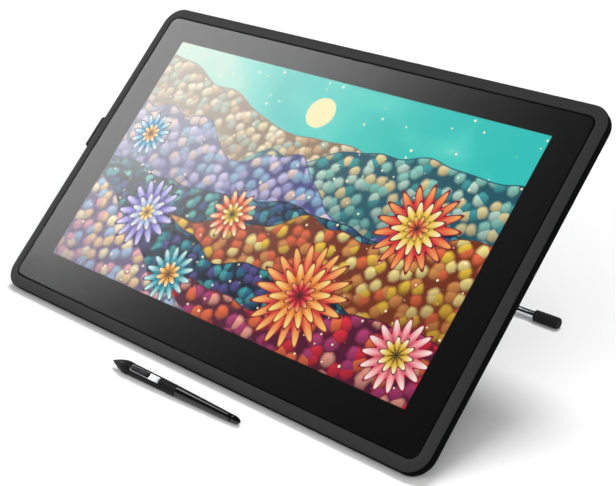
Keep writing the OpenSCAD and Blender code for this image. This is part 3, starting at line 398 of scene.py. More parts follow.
# picture on the panel, in widths of the picture from its middle: a made-up garden of wavy hills grown with
# small round bushes, each hill darker towards its foot, under a turquoise sky, with round blooms of pointed
# petals in front
picture = {
    "width": 476 * mm,
    "flat": 1e3,  # depth scale that keeps round things round on the panel
    "strokes": {"Scale": 24.0, "Detail": 6.0, "Distortion": 1.4},
    "cloud": {"Scale": 3.6, "Detail": 6.0, "Distortion": 0.6},
    "sky": {"colours": ("#2fc3bb", "#4fd3c6", "#a8e2d2", "#efe6c6"), "drift": -0.2, "from": 0.42, "to": 0.80},
    "sun": {"at": (-0.02, 0.205), "radius": 0.034, "edge": 1.06, "colour": "#ffedb4"},
    "mist": {"colour": "#d9d6cc", "drift": -0.5, "from": -0.72, "to": -0.2, "thick": 0.36,
             "low": -0.16, "high": 0.06},
    "pollen": {"colour": "#fff2cc", "scale": 30.0, "share": 0.4, "size": 0.1, "edge": 0.02},
    # light on a bush, ink between bushes, the hill's fall into shade, and the ink line and edge of its crest
    "growth": {"light": (-0.5, 0.85, 0), "dim": -0.5, "lit": 0.4, "shades": (0.45, 1.1), "leaf": 0.55,
               "gap": (0.62, 0.90), "fall": (0.03, 0.17), "dark": 0.5, "line": (0.002, 0.004), "edge": 0.001},
    "hills": [
        {"rise": 0.135, "swing": 0.11, "span": 2.2, "seed": 1.3, "lean": -0.17, "bush": 46, "ink": "#8a7054",
         "colours": ("#d4ae82", "#ecd6aa", "#b4c2ae", "#f4e6c4", "#98b8b6")},
        {"rise": 0.10, "swing": 0.13, "span": 2.6, "seed": 4.1, "lean": 0.20, "bush": 42, "ink": "#1d5664",
         "colours": ("#3f9fa2", "#8fd0c0", "#ead79c", "#c4e2d0", "#f0a45c")},
        {"rise": 0.045, "swing": 0.13, "span": 3.0, "seed": 7.7, "lean": -0.16, "bush": 40, "ink": "#444680",
         "colours": ("#a29ed4", "#d0c6ea", "#8fb6d8", "#ecd0c8", "#b4d4dc")},
        {"rise": 0.00, "swing": 0.12, "span": 2.4, "seed": 2.9, "lean": 0.08, "bush": 48, "ink": "#0a1f34",
         "colours": ("#1b5a78", "#3a94a2", "#365890", "#68beb2", "#d09844")},
        {"rise": -0.06, "swing": 0.12, "span": 2.9, "seed": 9.4, "lean": 0.20, "bush": 40, "ink": "#74301a",
         "colours": ("#f2c640", "#ea6c40", "#f8e490", "#de9450", "#e24c3a")},
        {"rise": -0.13, "swing": 0.11, "span": 2.7, "seed": 5.8, "lean": -0.14, "bush": 44, "ink": "#07162a",
         "colours": ("#143e5a", "#206488", "#504a8e", "#389ea2", "#d8b64c")},
        {"rise": -0.205, "swing": 0.09, "span": 3.4, "seed": 3.3, "lean": 0.10, "bush": 34, "ink": "#52122e",
         "colours": ("#dc2c3c", "#f4a490", "#ea6c40", "#b03c70", "#f4c85c")},
        {"rise": -0.31, "swing": 0.07, "span": 3.1, "seed": 6.2, "lean": -0.46, "bush": 38, "ink": "#6c5c7c",
         "colours": ("#f2cc9a", "#f8e6bc", "#a6c0dc", "#eaa8ac", "#c6b2dc")},
    ],
    # reach of the valley between petals, ink round a petal, its edge, and its tones from the eye outwards
    "petal": {"valley": 0.62, "ink": (-0.07, -0.05), "edge": 0.04, "crease": 0.75, "tones": (0.28, 1.25)},
    # a bloom's rings of petals from the outside in: radius, petals, turn, colours
    "blooms": [
        {"at": (0.335, 0.035), "rings": [
            (0.090, 17, 0.2, ("#7a1030", "#e23a36", "#f7a35a")),
            (0.056, 13, 0.5, ("#40102a", "#f6c744", "#fff0c0")),
            (0.026, 9, 0.1, ("#2a0c1c", "#e8693e", "#f9d36a"))]},
        {"at": (0.17, -0.165), "rings": [
            (0.108, 19, 0.9, ("#7c1424", "#e4483a", "#f9c06a")),
            (0.070, 14, 0.1, ("#8a2a12", "#f08a3c", "#fbe08a")),
            (0.034, 10, 0.4, ("#2a0f1c", "#d8283b", "#f8a070"))]},
        {"at": (-0.31, -0.12), "rings": [
            (0.080, 15, 0.4, ("#231a52", "#7a6fc4", "#d6ccf0")),
            (0.046, 11, 0.8, ("#3a2a6a", "#a8b8e0", "#f0e6d8")),
            (0.022, 8, 0.1, ("#5a1038", "#f0c33f", "#fff3cf"))]},
        {"at": (-0.09, -0.06), "rings": [
            (0.056, 13, 0.6, ("#7c1230", "#e8693e", "#fbe3b4")),
            (0.028, 9, 0.3, ("#301020", "#f0c33f", "#fff3cf"))]},
        {"at": (0.43, -0.20), "rings": [
            (0.072, 15, 0.0, ("#901838", "#f07a86", "#fbe4dc")),
            (0.036, 10, 0.4, ("#28101c", "#e8b93c", "#fff0c8"))]},
        {"at": (-0.43, 0.05), "rings": [
            (0.052, 13, 0.3, ("#0d3a5a", "#4a9cc0", "#dfeef4")),
            (0.024, 9, 0.7, ("#402010", "#f0a83f", "#fff0c8"))]},
        {"at": (-0.16, -0.225), "rings": [
            (0.062, 14, 0.7, ("#0b3550", "#2f9fb0", "#cdeee4")),
            (0.030, 9, 0.2, ("#402010", "#f0a83f", "#fff0c8"))]},
    ],
}


# cloudy sky with a plain round sun
def skyColour(tree, place, across, cloud):
    sky, sun = picture["sky"], picture["sun"]
    drift = addNode(tree, "Math", {0: across, 1: sky["drift"], 2: cloud}, operation="MULTIPLY_ADD")
    shade = addNode(tree, "MapRange", {
        "Value": drift.outputs[0], "From Min": sky["from"], "From Max": sky["to"]})
    tones = addNode(tree, "ValToRGB", {"Fac": shade.outputs["Result"]})
    rampColours(tones, sky["colours"])
    disc = addNode(tree, "Mapping", {
        "Vector": place, "Location": (*sun["at"], 0),
        "Scale": (sun["radius"], sun["radius"], picture["flat"])}, vector_type="TEXTURE")
    away = addNode(tree, "VectorMath", {0: disc.outputs["Vector"]}, operation="LENGTH")
    inside = addNode(tree, "MapRange", {
        "Value": away.outputs["Value"], "From Min": sun["edge"], "From Max": 1.0})
    sunned = addNode(tree, "MixRGB", {
        "Fac": inside.outputs["Result"], "Color1": tones.outputs["Color"],
        "Color2": hexLinear(sun["colour"])})
    return sunned.outputs["Color"]


# a hill over what lies behind it: below the crest, rise + swing x noise + lean x across, it is covered in
# bushes
def hillOver(tree, colour, hill, place, across, up, strokes):
    growth, ink, bush = picture["growth"], hexLinear(hill["ink"]), hill["bush"]
    walk = addNode(tree, "Math", {0: across, 1: hill["span"], 2: hill["seed"]}, operation="MULTIPLY_ADD")
    wave = addNode(tree, "TexNoise", {"W": walk.outputs[0], "Scale": 1.0, "Detail": 2.0},
                   noise_dimensions="1D")
    crest = addNode(tree, "Math", {
        0: wave.outputs["Fac"], 1: 2 * hill["swing"], 2: hill["rise"] - hill["swing"]},
        operation="MULTIPLY_ADD")
    leaning = addNode(tree, "Math", {0: across, 1: hill["lean"], 2: crest.outputs[0]},
                      operation="MULTIPLY_ADD")
    depth = addNode(tree, "Math", {0: leaning.outputs[0], 1: up}, operation="SUBTRACT")
    bushes = addNode(tree, "TexVoronoi", {"Vector": place, "Scale": bush}, voronoi_dimensions="2D")
    pick = addNode(tree, "SeparateXYZ", {0: bushes.outputs["Color"]})
    tones = addNode(tree, "ValToRGB", {"Fac": pick.outputs["X"]})
    rampColours(tones, hill["colours"])
    tones.color_ramp.interpolation = "CONSTANT"
    off = addNode(tree, "VectorMath", {0: place, 1: bushes.outputs["Position"]}, operation="SUBTRACT")
    facing = addNode(tree, "VectorMath", {0: off.outputs["Vector"], 1: growth["light"]},
                     operation="DOT_PRODUCT")
    sunny = addNode(tree, "MapRange", {
        "Value": facing.outputs["Value"], "From Min": growth["dim"] / bush, "From Max": growth["lit"] / bush,
        "To Min": growth["shades"][0], "To Max": growth["shades"][1]})
    lit = addNode(tree, "MixRGB", {
        "Fac": 1.0, "Color1": tones.outputs["Color"], "Color2": sunny.outputs["Result"]},
        blend_type="MULTIPLY")
    leafy = addNode(tree, "Math", {0: strokes, 1: growth["leaf"], 2: bushes.outputs["Distance"]},
                    operation="MULTIPLY_ADD")
    gap = addNode(tree, "MapRange", {
        "Value": leafy.outputs[0], "From Min": growth["gap"][0], "From Max": growth["gap"][1]})
    grown = addNode(tree, "MixRGB", {
        "Fac": gap.outputs["Result"], "Color1": lit.outputs["Color"], "Color2": ink})
    fall = addNode(tree, "MapRange", {
        "Value": depth.outputs[0], "From Min": growth["fall"][0], "From Max": growth["fall"][1],
        "To Min": 0.0, "To Max": growth["dark"]})
    shaded = addNode(tree, "MixRGB", {
        "Fac": fall.outputs["Result"], "Color1": grown.outputs["Color"], "Color2": ink})
    rim = addNode(tree, "MapRange", {
        "Value": depth.outputs[0], "From Min": growth["line"][0], "From Max": growth["line"][1],
        "To Min": 1.0, "To Max": 0.0})
    lined = addNode(tree, "MixRGB", {
        "Fac": rim.outputs["Result"], "Color1": shaded.outputs["Color"], "Color2": ink})
    cover = addNode(tree, "MapRange", {
        "Value": depth.outputs[0], "From Min": 0.0, "From Max": growth["edge"]})
    mixed = addNode(tree, "MixRGB", {
        "Fac": cover.outputs["Result"], "Color1": colour, "Color2": lined.outputs["Color"]})
    return mixed.outputs["Color"]


# thin mist over the far hills on the left
def mistOver(tree, colour, across, up, cloud):
    mist = picture["mist"]
    reach = addNode(tree, "Math", {0: cloud, 1: mist["drift"], 2: across}, operation="MULTIPLY_ADD")
    left = addNode(tree, "MapRange", {
        "Value": reach.outputs[0], "From Min": mist["from"], "From Max": mist["to"],
        "To Min": mist["thick"], "To Max": 0.0})
    upper = addNode(tree, "MapRange", {"Value": up, "From Min": mist["low"], "From Max": mist["high"]})
    thick = addNode(tree, "Math", {0: left.outputs["Result"], 1: upper.outputs["Result"]},
                    operation="MULTIPLY")
    misty = addNode(tree, "MixRGB", {
        "Fac": thick.outputs[0], "Color1": colour, "Color2": hexLinear(mist["colour"])})
    return misty.outputs["Color"]


# pale specks of mixed sizes
def pollenOver(tree, colour, place):
    pollen = picture["pollen"]
    dots = addNode(tree, "TexVoronoi", {"Vector": place, "Scale": pollen["scale"]}, voronoi_dimensions="2D")
    pick = addNode(tree, "SeparateXYZ", {0: dots.outputs["Color"]})
    size = addNode(tree, "MapRange", {
        "Value": pick.outputs["X"], "From Min": pollen["share"], "From Max": 1.0,
        "To Min": 0.0, "To Max": pollen["size"]})
    inside = addNode(tree, "Math", {0: size.outputs["Result"], 1: dots.outputs["Distance"]},
                     operation="SUBTRACT")
    cover = addNode(tree, "MapRange", {
        "Value": inside.outputs[0], "From Min": 0.0, "From Max": pollen["edge"]})
    dotted = addNode(tree, "MixRGB", {
        "Fac": cover.outputs["Result"], "Color1": colour, "Color2": hexLinear(pollen["colour"])})
    return dotted.outputs["Color"]


# a ring of pointed petals with an inked outline, darker in the eye and along each crease
def petalsOver(tree, colour, place, at, radius, petals, turn, colours):
    look = picture["petal"]
    centred = addNode(tree, "Mapping", {
        "Vector": place, "Location": (*at, 0), "Rotation": (0, 0, turn),
        "Scale": (radius, radius, picture["flat"])}, vector_type="TEXTURE")
    away = addNode(tree, "VectorMath", {0: centred.outputs["Vector"]}, operation="LENGTH")
    around = addNode(tree, "TexGradient", {"Vector": centred.outputs["Vector"]}, gradient_type="RADIAL")
    count = addNode(tree, "Math", {0: around.outputs["Fac"], 1: petals}, operation="MULTIPLY")
    petal = addNode(tree, "Math", {0: count.outputs[0], 1: 0.5}, operation="PINGPONG")
    tip = addNode(tree, "MapRange", {
        "Value": petal.outputs[0], "From Min": 0.0, "From Max": 0.5, "To Min": look["valley"], "To Max": 1.0},
        interpolation_type="SMOOTHSTEP")
    inside = addNode(tree, "Math", {0: tip.outputs["Result"], 1: away.outputs["Value"]}, operation="SUBTRACT")
    trim = addNode(tree, "MapRange", {
        "Value": inside.outputs[0], "From Min": look["ink"][0], "From Max": look["ink"][1]})
    inked = addNode(tree, "MixRGB", {
        "Fac": trim.outputs["Result"], "Color1": colour, "Color2": hexLinear(colours[0])})
    cover = addNode(tree, "MapRange", {
        "Value": inside.outputs[0], "From Min": 0.0, "From Max": look["edge"]})
    crease = addNode(tree, "Math", {0: petal.outputs[0], 1: look["crease"], 2: away.outputs["Value"]},
                     operation="MULTIPLY_ADD")
    tone = addNode(tree, "MapRange", {
        "Value": crease.outputs[0], "From Min": look["tones"][0], "From Max": look["tones"][1]})
    tones = addNode(tree, "ValToRGB", {"Fac": tone.outputs["Result"]})
    rampColours(tones, colours)
    mixed = addNode(tree, "MixRGB", {
        "Fac": cover.outputs["Result"], "Color1": inked.outputs["Color"], "Color2": tones.outputs["Color"]})
    return mixed.outputs["Color"]


# lit panel: glows by itself, with no gloss of its own
def litPicture():
    material, tree = newMaterial("litPicture")
    low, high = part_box("lcd_panel")
    middle = (Vector(low) + Vector(high)) / 2
    spot = addNode(tree, "TexCoord")
    lay = addNode(tree, "Mapping", {
        "Vector": spot.outputs["Object"], "Location": middle, "Rotation": (tilt, 0, 0),
        "Scale": [picture["width"]] * 3}, vector_type="TEXTURE")
    place = lay.outputs["Vector"]
    parts = addNode(tree, "SeparateXYZ", {0: place})
    across, up = parts.outputs["X"], parts.outputs["Y"]
    strokes = addNode(tree, "TexNoise", {"Vector": place, **picture["strokes"]}).outputs["Fac"]
    cloud = addNode(tree, "TexNoise", {"Vector": place, **picture["cloud"]}).outputs["Fac"]
    colour = skyColour(tree, place, across, cloud)
    for hill in picture["hills"]:
        colour = hillOver(tree, colour, hill, place, across, up, strokes)
    colour = mistOver(tree, colour, across, up, cloud)
    colour = pollenOver(tree, colour, place)
    for bloom in picture["blooms"]:
        for ring in bloom["rings"]:
            colour = petalsOver(tree, colour, place, bloom["at"], *ring)
    skin = addNode(tree, "BsdfPrincipled", {
        "Base Color": hexLinear("#050505"), "Roughness": 0.5, "Specular IOR Level": 0.0,
        "Emission Color": colour, "Emission Strength": 1.0})
    addNode(tree, "OutputMaterial", {"Surface": skin.outputs[0]})
    material.cycles.emission_sampling = "NONE"
    return material


finish = {
    "bezel": mouldedPlastic("bezelABS", "#343435", 0.45, 0.7, 0.1, gloss=0.035),
    # the bezel's upright side and round edge: near-black with almost no gloss, painted shade
    "shadeBand": mouldedPlastic("bandPaintedShade", "#0a0a0b", 0.7, 0.8, 0.1, gloss=0.02),
    "loop": mouldedPlastic("loopABS", "#2b2b2c", 0.6, 0.8, 0.2, gloss=0.05),
    "cover": mouldedPlastic("coverABS", "#323234", 0.55, 0.8, 0.2),
    "glass": etchedGlass(),
    "ink": maskInk(),
    "picture": litPicture(),
    # near-black seal; where it fills the groove round the glass, its darkness is also painted shade for the groove
    "seal": blackRubber("foamSealGrooveShade", "#070707", 0.9, 0.6, gloss=0.05),
    "rubber": blackRubber("mouldedRubber", "#202021", 0.8, 0.6),
    "chrome": bareMetal("chromePlate", "#dfe2e4", 0.07, (1, 1, 1), 0.02),
    "steel": bareMetal("groundSteel", "#b4b7ba", 0.28, (0.2, 1, 1), 0.08),
    "sheet": bareMetal("bareSheet", "#c3c6c9", 0.38, (0.1, 1, 1), 0.08),
    "brass": bareMetal("turnedBrass", "#c9a35a", 0.3, (1, 1, 1), 0.06),
    "bronze": bareMetal("sinteredBronze", "#a8814a", 0.42, (1, 1, 1), 0.1),
    "copper": bareMetal("woundCopper", "#b3693c", 0.35, (8, 1, 1), 0.1),
    "silver": bareMetal("satinSilver", "#e4e6e8", 0.42, (0.2, 1, 1), 0.02),
    "coat": powderCoat("powderCoat", "#3a3b3e"),
    "penGloss": polishedBlack("polishedABS", "#0a0a0b", 0.14),
    "penSatin": mouldedPlastic("satinABS", "#131315", 0.42, 0.5, 0.05, gloss=0.15),
    "penRubber": blackRubber("gripRubber", "#111112", 0.55, 0.4, gloss=0.12),
    "board": mouldedPlastic("solderMask", "#1d5a3a", 0.4, 1.5, 0.1),
    "chip": mouldedPlastic("epoxyBlack", "#1a1a1c", 0.5, 0.6, 0.1),
    "ribbon": mouldedPlastic("ribbonFilm", "#d9d5c4", 0.4, 2.0, 0.05),
    "acrylic": mouldedPlastic("acrylicSheet", "#eef0ec", 0.2, 4.0, 0.02),
    "lining": blackRubber("frictionLining", "#5a4030", 0.8, 0.7),
}

# every node has its finish, also one that a piece replaces
wears = {
    "front_bezel": "bezel", "cover_glass": "glass", "glass_mask": "ink", "glass_gasket": "seal",
    "lcd_panel": "picture", "backlight": "acrylic", "panel_tray": "sheet", "pen_sensor_sheet": "board",
    "chassis_plate": "sheet", "chassis_screws": "steel", "main_board": "board", "board_chips": "chip",
    "board_screws": "steel", "led_driver_board": "board", "panel_cable": "ribbon", "hdmi_socket": "steel",
    "usb_socket": "steel", "dc_socket": "chip", "rear_cover": "cover", "case_screws": "steel",
    "arm_inserts": "brass", "lock_plate": "sheet", "foot_strip": "rubber", "power_button": "penSatin",
    "button_board": "board", "power_light": "acrylic", "pen_holder": "cover", "holder_blank": "cover",
    "stand_bracket": "coat", "stand_screws": "steel", "hinge_bushes": "bronze", "lever_pin": "steel",
    "lever_spring": "steel", "release_lever": "cover", "brake_shoe": "lining", "hinge_shaft": "steel",
    "shaft_clips": "chip", "brake_drum": "steel", "leg_plate": "coat", "foot_tube": "chrome",
    "foot_sleeve_left": "rubber", "foot_sleeve_right": "rubber", "pen_nose": "penSatin",
    "pen_nib": "penSatin", "pen_coil": "copper", "pen_force_sensor": "chip", "pen_board": "board",
    "pen_grip": "penRubber", "pen_switch_plate": "silver", "pen_switch": "penSatin",
    "pen_switch_pin": "steel", "pen_barrel": "penGloss", "pen_eraser": "penGloss",
}
for nodeName, finishName in wears.items():
    skinned = nodes[nodeName].data.materials
    skinned.clear()
    skinned.append(finish[finishName])
print("finishes set:", len(finish))


# ring of a rounded rectangle: a corner's points are its centre + corner radius x outward normal
def roundedRing(width, height, corner, steps):
    turns = np.concatenate([np.linspace(0, math.pi / 2, steps) + k * math.pi / 2 for k in range(4)])
    normals = np.stack([np.cos(turns), np.sin(turns)], axis=-1)
    signs = np.repeat([(1, 1), (-1, 1), (-1, -1), (1, -1)], steps, axis=0)
    return signs * (width / 2 - corner, height / 2 - corner) + normals * corner, normals


# profile of (inset, height, pull) carried round a ring: (ring - normal x inset) x pull; pull 0 is the middle
def carriedRound(ring, normals, profile):
    inset, height, pull = np.asarray(profile, float).T
    flat = (ring[:, None] - normals[:, None] * inset[:, None]) * pull[:, None]
    return np.dstack([flat[..., 0], flat[..., 1], np.broadcast_to(height, flat.shape[:2])])


# lines of (inset, height) joined to one profile with pull 1
def joined(*lines):
    return np.insert(np.concatenate(lines), 2, 1.0, axis=1)


# profile of (distance, radius) turned about the first axis: (x, r cos a, r sin a)
def turnedRound(profile, segments=96):
    along, radius = np.asarray(profile, float).T
    angle = np.linspace(0, 2 * math.pi, segments, endpoint=False)[:, None]
    axis = np.broadcast_to(along, (segments, len(along)))
    return np.dstack([axis, radius * np.cos(angle), radius * np.sin(angle)])


# arc from one angle to another about a centre, in degrees: centre + radius (cos a, sin a)
def arcOf(centre, radius, start, end, steps):
    a = np.radians(np.linspace(start, end, steps))
    return np.stack([centre[0] + radius * np.cos(a), centre[1] + radius * np.sin(a)], axis=-1)


# bezel: a soft lip at the glass, a flat, and an outer part crowned on an arc of crownR; a near-black band, its
# dark colour painted shade, makes the upright side, with a fine gap at the seam and a small round edge that
# touches the crown and the side
bezel = {"width": 565.5, "height": 354, "corner": 21.5, "cornerSteps": 25, "rim": 11.6, "depth": 9.5,
         "crownWide": 7, "crownR": 14, "edge": 1.2, "lip": 0.9, "gap": 0.3, "shadeBand": 1.15, "bandStep": 0.2,
         "parting": 0.06}
edgeTurn = math.asin((bezel["crownWide"] - bezel["edge"]) / (bezel["crownR"] - bezel["edge"]))
edgeZ = (bezel["crownR"] - bezel["edge"]) * math.cos(edgeTurn) - bezel["crownR"]
edgeStart = 90 + math.degrees(edgeTurn)  # where the round edge meets the crown


def bezelProfile():
    rim, lip, edge, low = bezel["rim"], bezel["lip"], bezel["edge"], -bezel["depth"]
    crown = arcOf((bezel["crownWide"], -bezel["crownR"]), bezel["crownR"], edgeStart, 90, 16)
    inner = arcOf((rim - lip, -lip), lip, 90, 0, 8)
    back = [(rim, low / 2), (rim, low), (edge, low), (edge, crown[0, 1] - bezel["parting"])]
    return joined(crown, inner, back)


def bandProfile():
    low = -bezel["depth"]
    side = [(bezel["gap"], low), (0, low + bezel["gap"])]
    outer = arcOf((bezel["edge"], edgeZ), bezel["edge"], 180, edgeStart, 10) - (0, bezel["parting"] / 2)
    back = [(bezel["shadeBand"], outer[-1, 1] - bezel["bandStep"]), (bezel["shadeBand"], low)]
    return joined(side, outer, back)


bezelRing, bezelNormals = roundedRing(bezel["width"], bezel["height"], bezel["corner"], bezel["cornerSteps"])
bezelPoints = onDisplay(carriedRound(bezelRing, bezelNormals, bezelProfile()))
bezelShell = putSurface("bezelShell", bezelPoints, closeRows=True, closeColumns=True)
dress(bezelShell, "display", "bezel_plastic", finish["bezel"], "front_bezel")
# the band's near-black finish is painted shade on the upright side and its round edge
bandPoints = onDisplay(carriedRound(bezelRing, bezelNormals, bandProfile()))
bezelShadeBand = putSurface("bezelShadeBand", bandPoints, closeRows=True, closeColumns=True)
dress(bezelShadeBand, "display", "bezel_plastic", finish["shadeBand"], "front_bezel")

# pen loop, in (outward from the side, out of the front): an oval, centre + (a cos t, b sin t), with an oval
# bore, on a saddle that lies on the slanted side; two straight flanks touch the oval, and its ends are eased
loop = {"out": 10.5, "deep": -19.2, "mid": 14, "half": 17.8, "oval": (7.9, 10.2), "bore": (6.2, 8.5),
        "saddle": ((-2, -11.5), (-14.4, -23.9), (-10.4, -27.9)), "ease": 0.6}


# angle of the oval's point whose tangent meets a point outside it
def ovalTangent(point, side):
    x, y = (np.asarray(point) - (loop["out"], loop["deep"])) / loop["oval"]
    return math.atan2(y, x) % (2 * math.pi) + side * math.acos(1 / math.hypot(x, y))


def loopPoints():
    centre, saddle = np.array([loop["out"], loop["deep"]]), np.array(loop["saddle"], float)
    turns = np.linspace(ovalTangent(saddle[2], 1) - 2 * math.pi, ovalTangent(saddle[0], -1), 64)
    oval = centre + np.stack([np.cos(turns), np.sin(turns)], axis=-1) * loop["oval"]
    corners = np.concatenate([oval[-1:], saddle, oval[:1]])
    steps = np.linspace(0, 1, 8, endpoint=False)
    flanks = [a + (b - a) * t for a, b in zip(corners[:-1], corners[1:]) for t in steps]
    outer = np.concatenate([oval[:-1], flanks])
    across, deep = ((outer - centre) / loop["bore"]).T
    polar = np.arctan2(deep, across)
    bore = centre + np.stack([np.cos(polar), np.sin(polar)], axis=-1) * loop["bore"]
    wall = (outer - bore) / np.linalg.norm(outer - bore, axis=1)[:, None]
    easeTurns = np.radians([0, 30, 60, 90])
    bend = loop["ease"] * (1 - np.cos(easeTurns))
    rise = loop["half"] - loop["ease"] * (1 - np.sin(easeTurns))
    ends = [(outer - wall * b, r) for b, r in zip(bend, rise)]
    ends += [(bore + wall * b, r) for b, r in zip(bend[::-1], rise[::-1])]
    section = ends + [(line, -y) for line, y in ends[::-1]]
    side = -bezel["width"] / 2
    lines = [np.stack([side - line[:, 0], np.full(len(line), loop["mid"] + y), line[:, 1]], axis=-1)
             for line, y in section]
    return np.stack(lines, axis=1)


penLoop = putSurface("penLoop", onDisplay(loopPoints()), closeRows=True, closeColumns=True, sharp=50)
dress(penLoop, "display", "cover_plastic", finish["loop"], "pen_holder")

# cover glass: a plate with a ground edge that catches the light
glass = {"front": -0.2, "thick": 1.0, "ground": 0.3}


def glassProfile(inset):
    front, ground = glass["front"], glass["ground"]
    rear = front - glass["thick"]
    edge = [(inset + ground, front, 1), (inset, front - ground, 1), (inset, rear, 1)]
    return [(0, front, 0), *edge, (0, rear, 0)]


glassLow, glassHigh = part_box("cover_glass")
glassInset = (bezel["width"] - (glassHigh[0] - glassLow[0]) / mm) / 2
glassPoints = onDisplay(carriedRound(bezelRing, bezelNormals, glassProfile(glassInset)))
glassPlate = putSurface("glassPlate", glassPoints, closeRows=True, sharp=20)
dress(glassPlate, "display", "cover_glass", finish["glass"], "cover_glass")

# seal: a black bead that fills the groove round the glass, hollow at its top, z = top - hollow (1 - u^2); its
# black is both the seal's own colour and painted shade for the groove
seal = {"slack": 0.02, "top": -0.24, "hollow": 0.1, "rear": -1.8}


def sealProfile():
    u = np.linspace(-1, 1, 9)
    middle, half = (bezel["rim"] + glassInset) / 2, (glassInset - bezel["rim"]) / 2 - seal["slack"]
    line = np.stack([middle + half * u, seal["top"] - seal["hollow"] * (1 - u ** 2)], axis=-1)
    back = [(middle + half, seal["rear"]), (middle - half, seal["rear"])]
    return joined(line, back)


sealPoints = onDisplay(carriedRound(bezelRing, bezelNormals, sealProfile()))
sealBeadGrooveShade = putSurface("sealBeadGrooveShade", sealPoints, closeRows=True, closeColumns=True)
dress(sealBeadGrooveShade, "display", "gasket_foam", finish["seal"], "glass_gasket")

# foot: a chrome tube with a rubber sleeve on each end, both turned about the tube's axis
foot = {"tubeR": 4.1, "sleeveR": 5.9, "sleeveLen": 28.5, "endR": 2.6, "lipR": 0.5, "half": 202}
footLow, footHigh = (np.array(corner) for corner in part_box("foot_tube"))
footMid = (footLow + footHigh) / 2
footHalf = (footHigh[0] - footLow[0]) / 2 / mm


def sleeveProfile():
    r, end = foot["sleeveR"], foot["half"]
    start = end - foot["sleeveLen"]
    lip = arcOf((start + foot["lipR"], r - foot["lipR"]), foot["lipR"], 180, 90, 5)
    tip = arcOf((end - foot["endR"], r - foot["endR"]), foot["endR"], 90, 0, 9)
    return np.concatenate([[(start, 0)], lip, tip, [(end, 0)]])


tubeProfile = [(-footHalf, 0), (-footHalf, foot["tubeR"]), (footHalf, foot["tubeR"]), (footHalf, 0)]
tubePoints = placed(turnedRound(tubeProfile), footMid, (1, 0, 0), (0, 1, 0), (0, 0, 1))
dress(putSurface("footTube", tubePoints, closeRows=True), "leg", "tube_chrome", finish["chrome"], "foot_tube")
for sideName, sign in (("left", -1), ("right", 1)):
    sleevePoints = placed(turnedRound(sleeveProfile()), footMid, (sign, 0, 0), (0, 1, 0), (0, 0, 1))
    sleeve = putSurface("footSleeve." + sideName, sleevePoints, closeRows=True)
    dress(sleeve, "leg", "foot_rubber", finish["rubber"], "foot_sleeve_" + sideName)

# lever spring: round wire along a helix whose pitch closes up at both ends, z = length (t - sin(2 pi t) / 12)
spring = {"at": (0, 54, -53.4), "radius": 3.0, "wire": 0.45, "turns": 4, "turnSteps": 40, "wireSteps": 12,
          "length": 9.8, "keep": 0.67}


def coilPoints():
    t = np.linspace(0, 1, spring["turns"] * spring["turnSteps"] + 1)
    turn = 2 * math.pi * spring["turns"] * t
    out = np.stack([np.cos(turn), np.sin(turn), np.zeros_like(t)], axis=-1)
    path = spring["radius"] * out
    path[:, 2] = spring["length"] * (t - np.sin(2 * math.pi * t) / 12)
    run = np.gradient(path, axis=0)
    run /= np.linalg.norm(run, axis=1)[:, None]
    over = np.cross(run, out)
    ring = np.linspace(0, 2 * math.pi, spring["wireSteps"], endpoint=False)[None, :, None]
    tube = path[:, None] + spring["wire"] * (np.cos(ring) * out[:, None] + np.sin(ring) * over[:, None])
    caps = [np.broadcast_to(path[i], (1,) + tube.shape[1:]) for i in (0, -1)]
    return np.concatenate([caps[0], tube, caps[1]]) + np.array(spring["at"])


leverCoil = putSurface("leverCoil", onDisplay(coilPoints()), closeColumns=True)
dress(leverCoil, "display", "bright_steel", finish["steel"], "lever_spring")
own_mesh(leverCoil)

# pen, in millimetres from the nib along its axis
pen = {
    "noseLen": 17, "nibOut": 2.0, "tipR": 1.25, "swell": 0.45, "noseR": 6.05, "wideX": 21.5, "wideR": 6.4,
    "soft": 0.10, "shoulderX": 27, "frontR": 6.05, "gripX": 88, "midR": 5.4, "tailX": 155, "tailR": 3.7,
    "ringX": 22.7, "ringStep": 1.5, "ringWide": 0.7, "ringDeep": 0.3, "rings": 3, "bore": 2.8,
    "plateX": 27.5, "plateLen": 38.5, "plateWide": 6.0, "plateThick": 1.2, "plateZ": 4.27,
    "rockerX": 28.5, "rockerLen": 24.5, "rockerWide": 4.8, "rockerTop": 6.37, "rockerLow": 3.97,
    "pinX": 40.75,
}
penTip = (Vector(joints["side_switch_rock"]["pos_m"]) - penAlong * pen["pinX"] * mm
          - penUp * (pen["plateZ"] + pen["plateThick"] / 2) * mm)


def onPen(points):
    return placed(points, penTip, penAlong, penSide, penUp)


# nose: radius = straight taper + swell x sin(pi t), with an eased hole for the nib
nose = {"from": 0.02, "hole": 1.0, "holeDeep": 4, "holeEase": 0.2, "holeRim": 1.12}


def noseProfile():
    t = np.linspace(nose["from"], 1, 40)
    start = pen["nibOut"]
    x = start + (pen["noseLen"] - start) * t
    r = pen["tipR"] + (pen["noseR"] - pen["tipR"]) * t + pen["swell"] * np.sin(math.pi * t)
    hole = [(start + nose["holeDeep"], nose["hole"]), (start + nose["holeEase"], nose["hole"]),
            (start, nose["holeRim"])]
    return np.concatenate([hole, np.stack([x, r], axis=-1), [(pen["noseLen"], pen["bore"])]])


penNose = putSurface("penNose", onPen(turnedRound(noseProfile())), closeRows=True, closeColumns=True)
dress(penNose, "display", "pen_satin", finish["penSatin"], "pen_nose")

# nib: a ball end, a cone and a stem, turned
nib = {"ball": 0.62, "coneX": 1.5, "coneR": 0.86, "stemX": 2.2, "stemR": 0.9, "end": 9}
nibBall = arcOf((nib["ball"], 0), nib["ball"], 180, 120, 6)[1:]
nibStem = [(nib["coneX"], nib["coneR"]), (nib["stemX"], nib["stemR"]), (nib["end"], nib["stemR"]),
           (nib["end"], 0)]
nibPoints = onPen(turnedRound(np.concatenate([[(0, 0)], nibBall, nibStem]), 32))
dress(putSurface("penNib", nibPoints, closeRows=True), "nib", "nib_plastic", finish["penSatin"], "pen_nib")


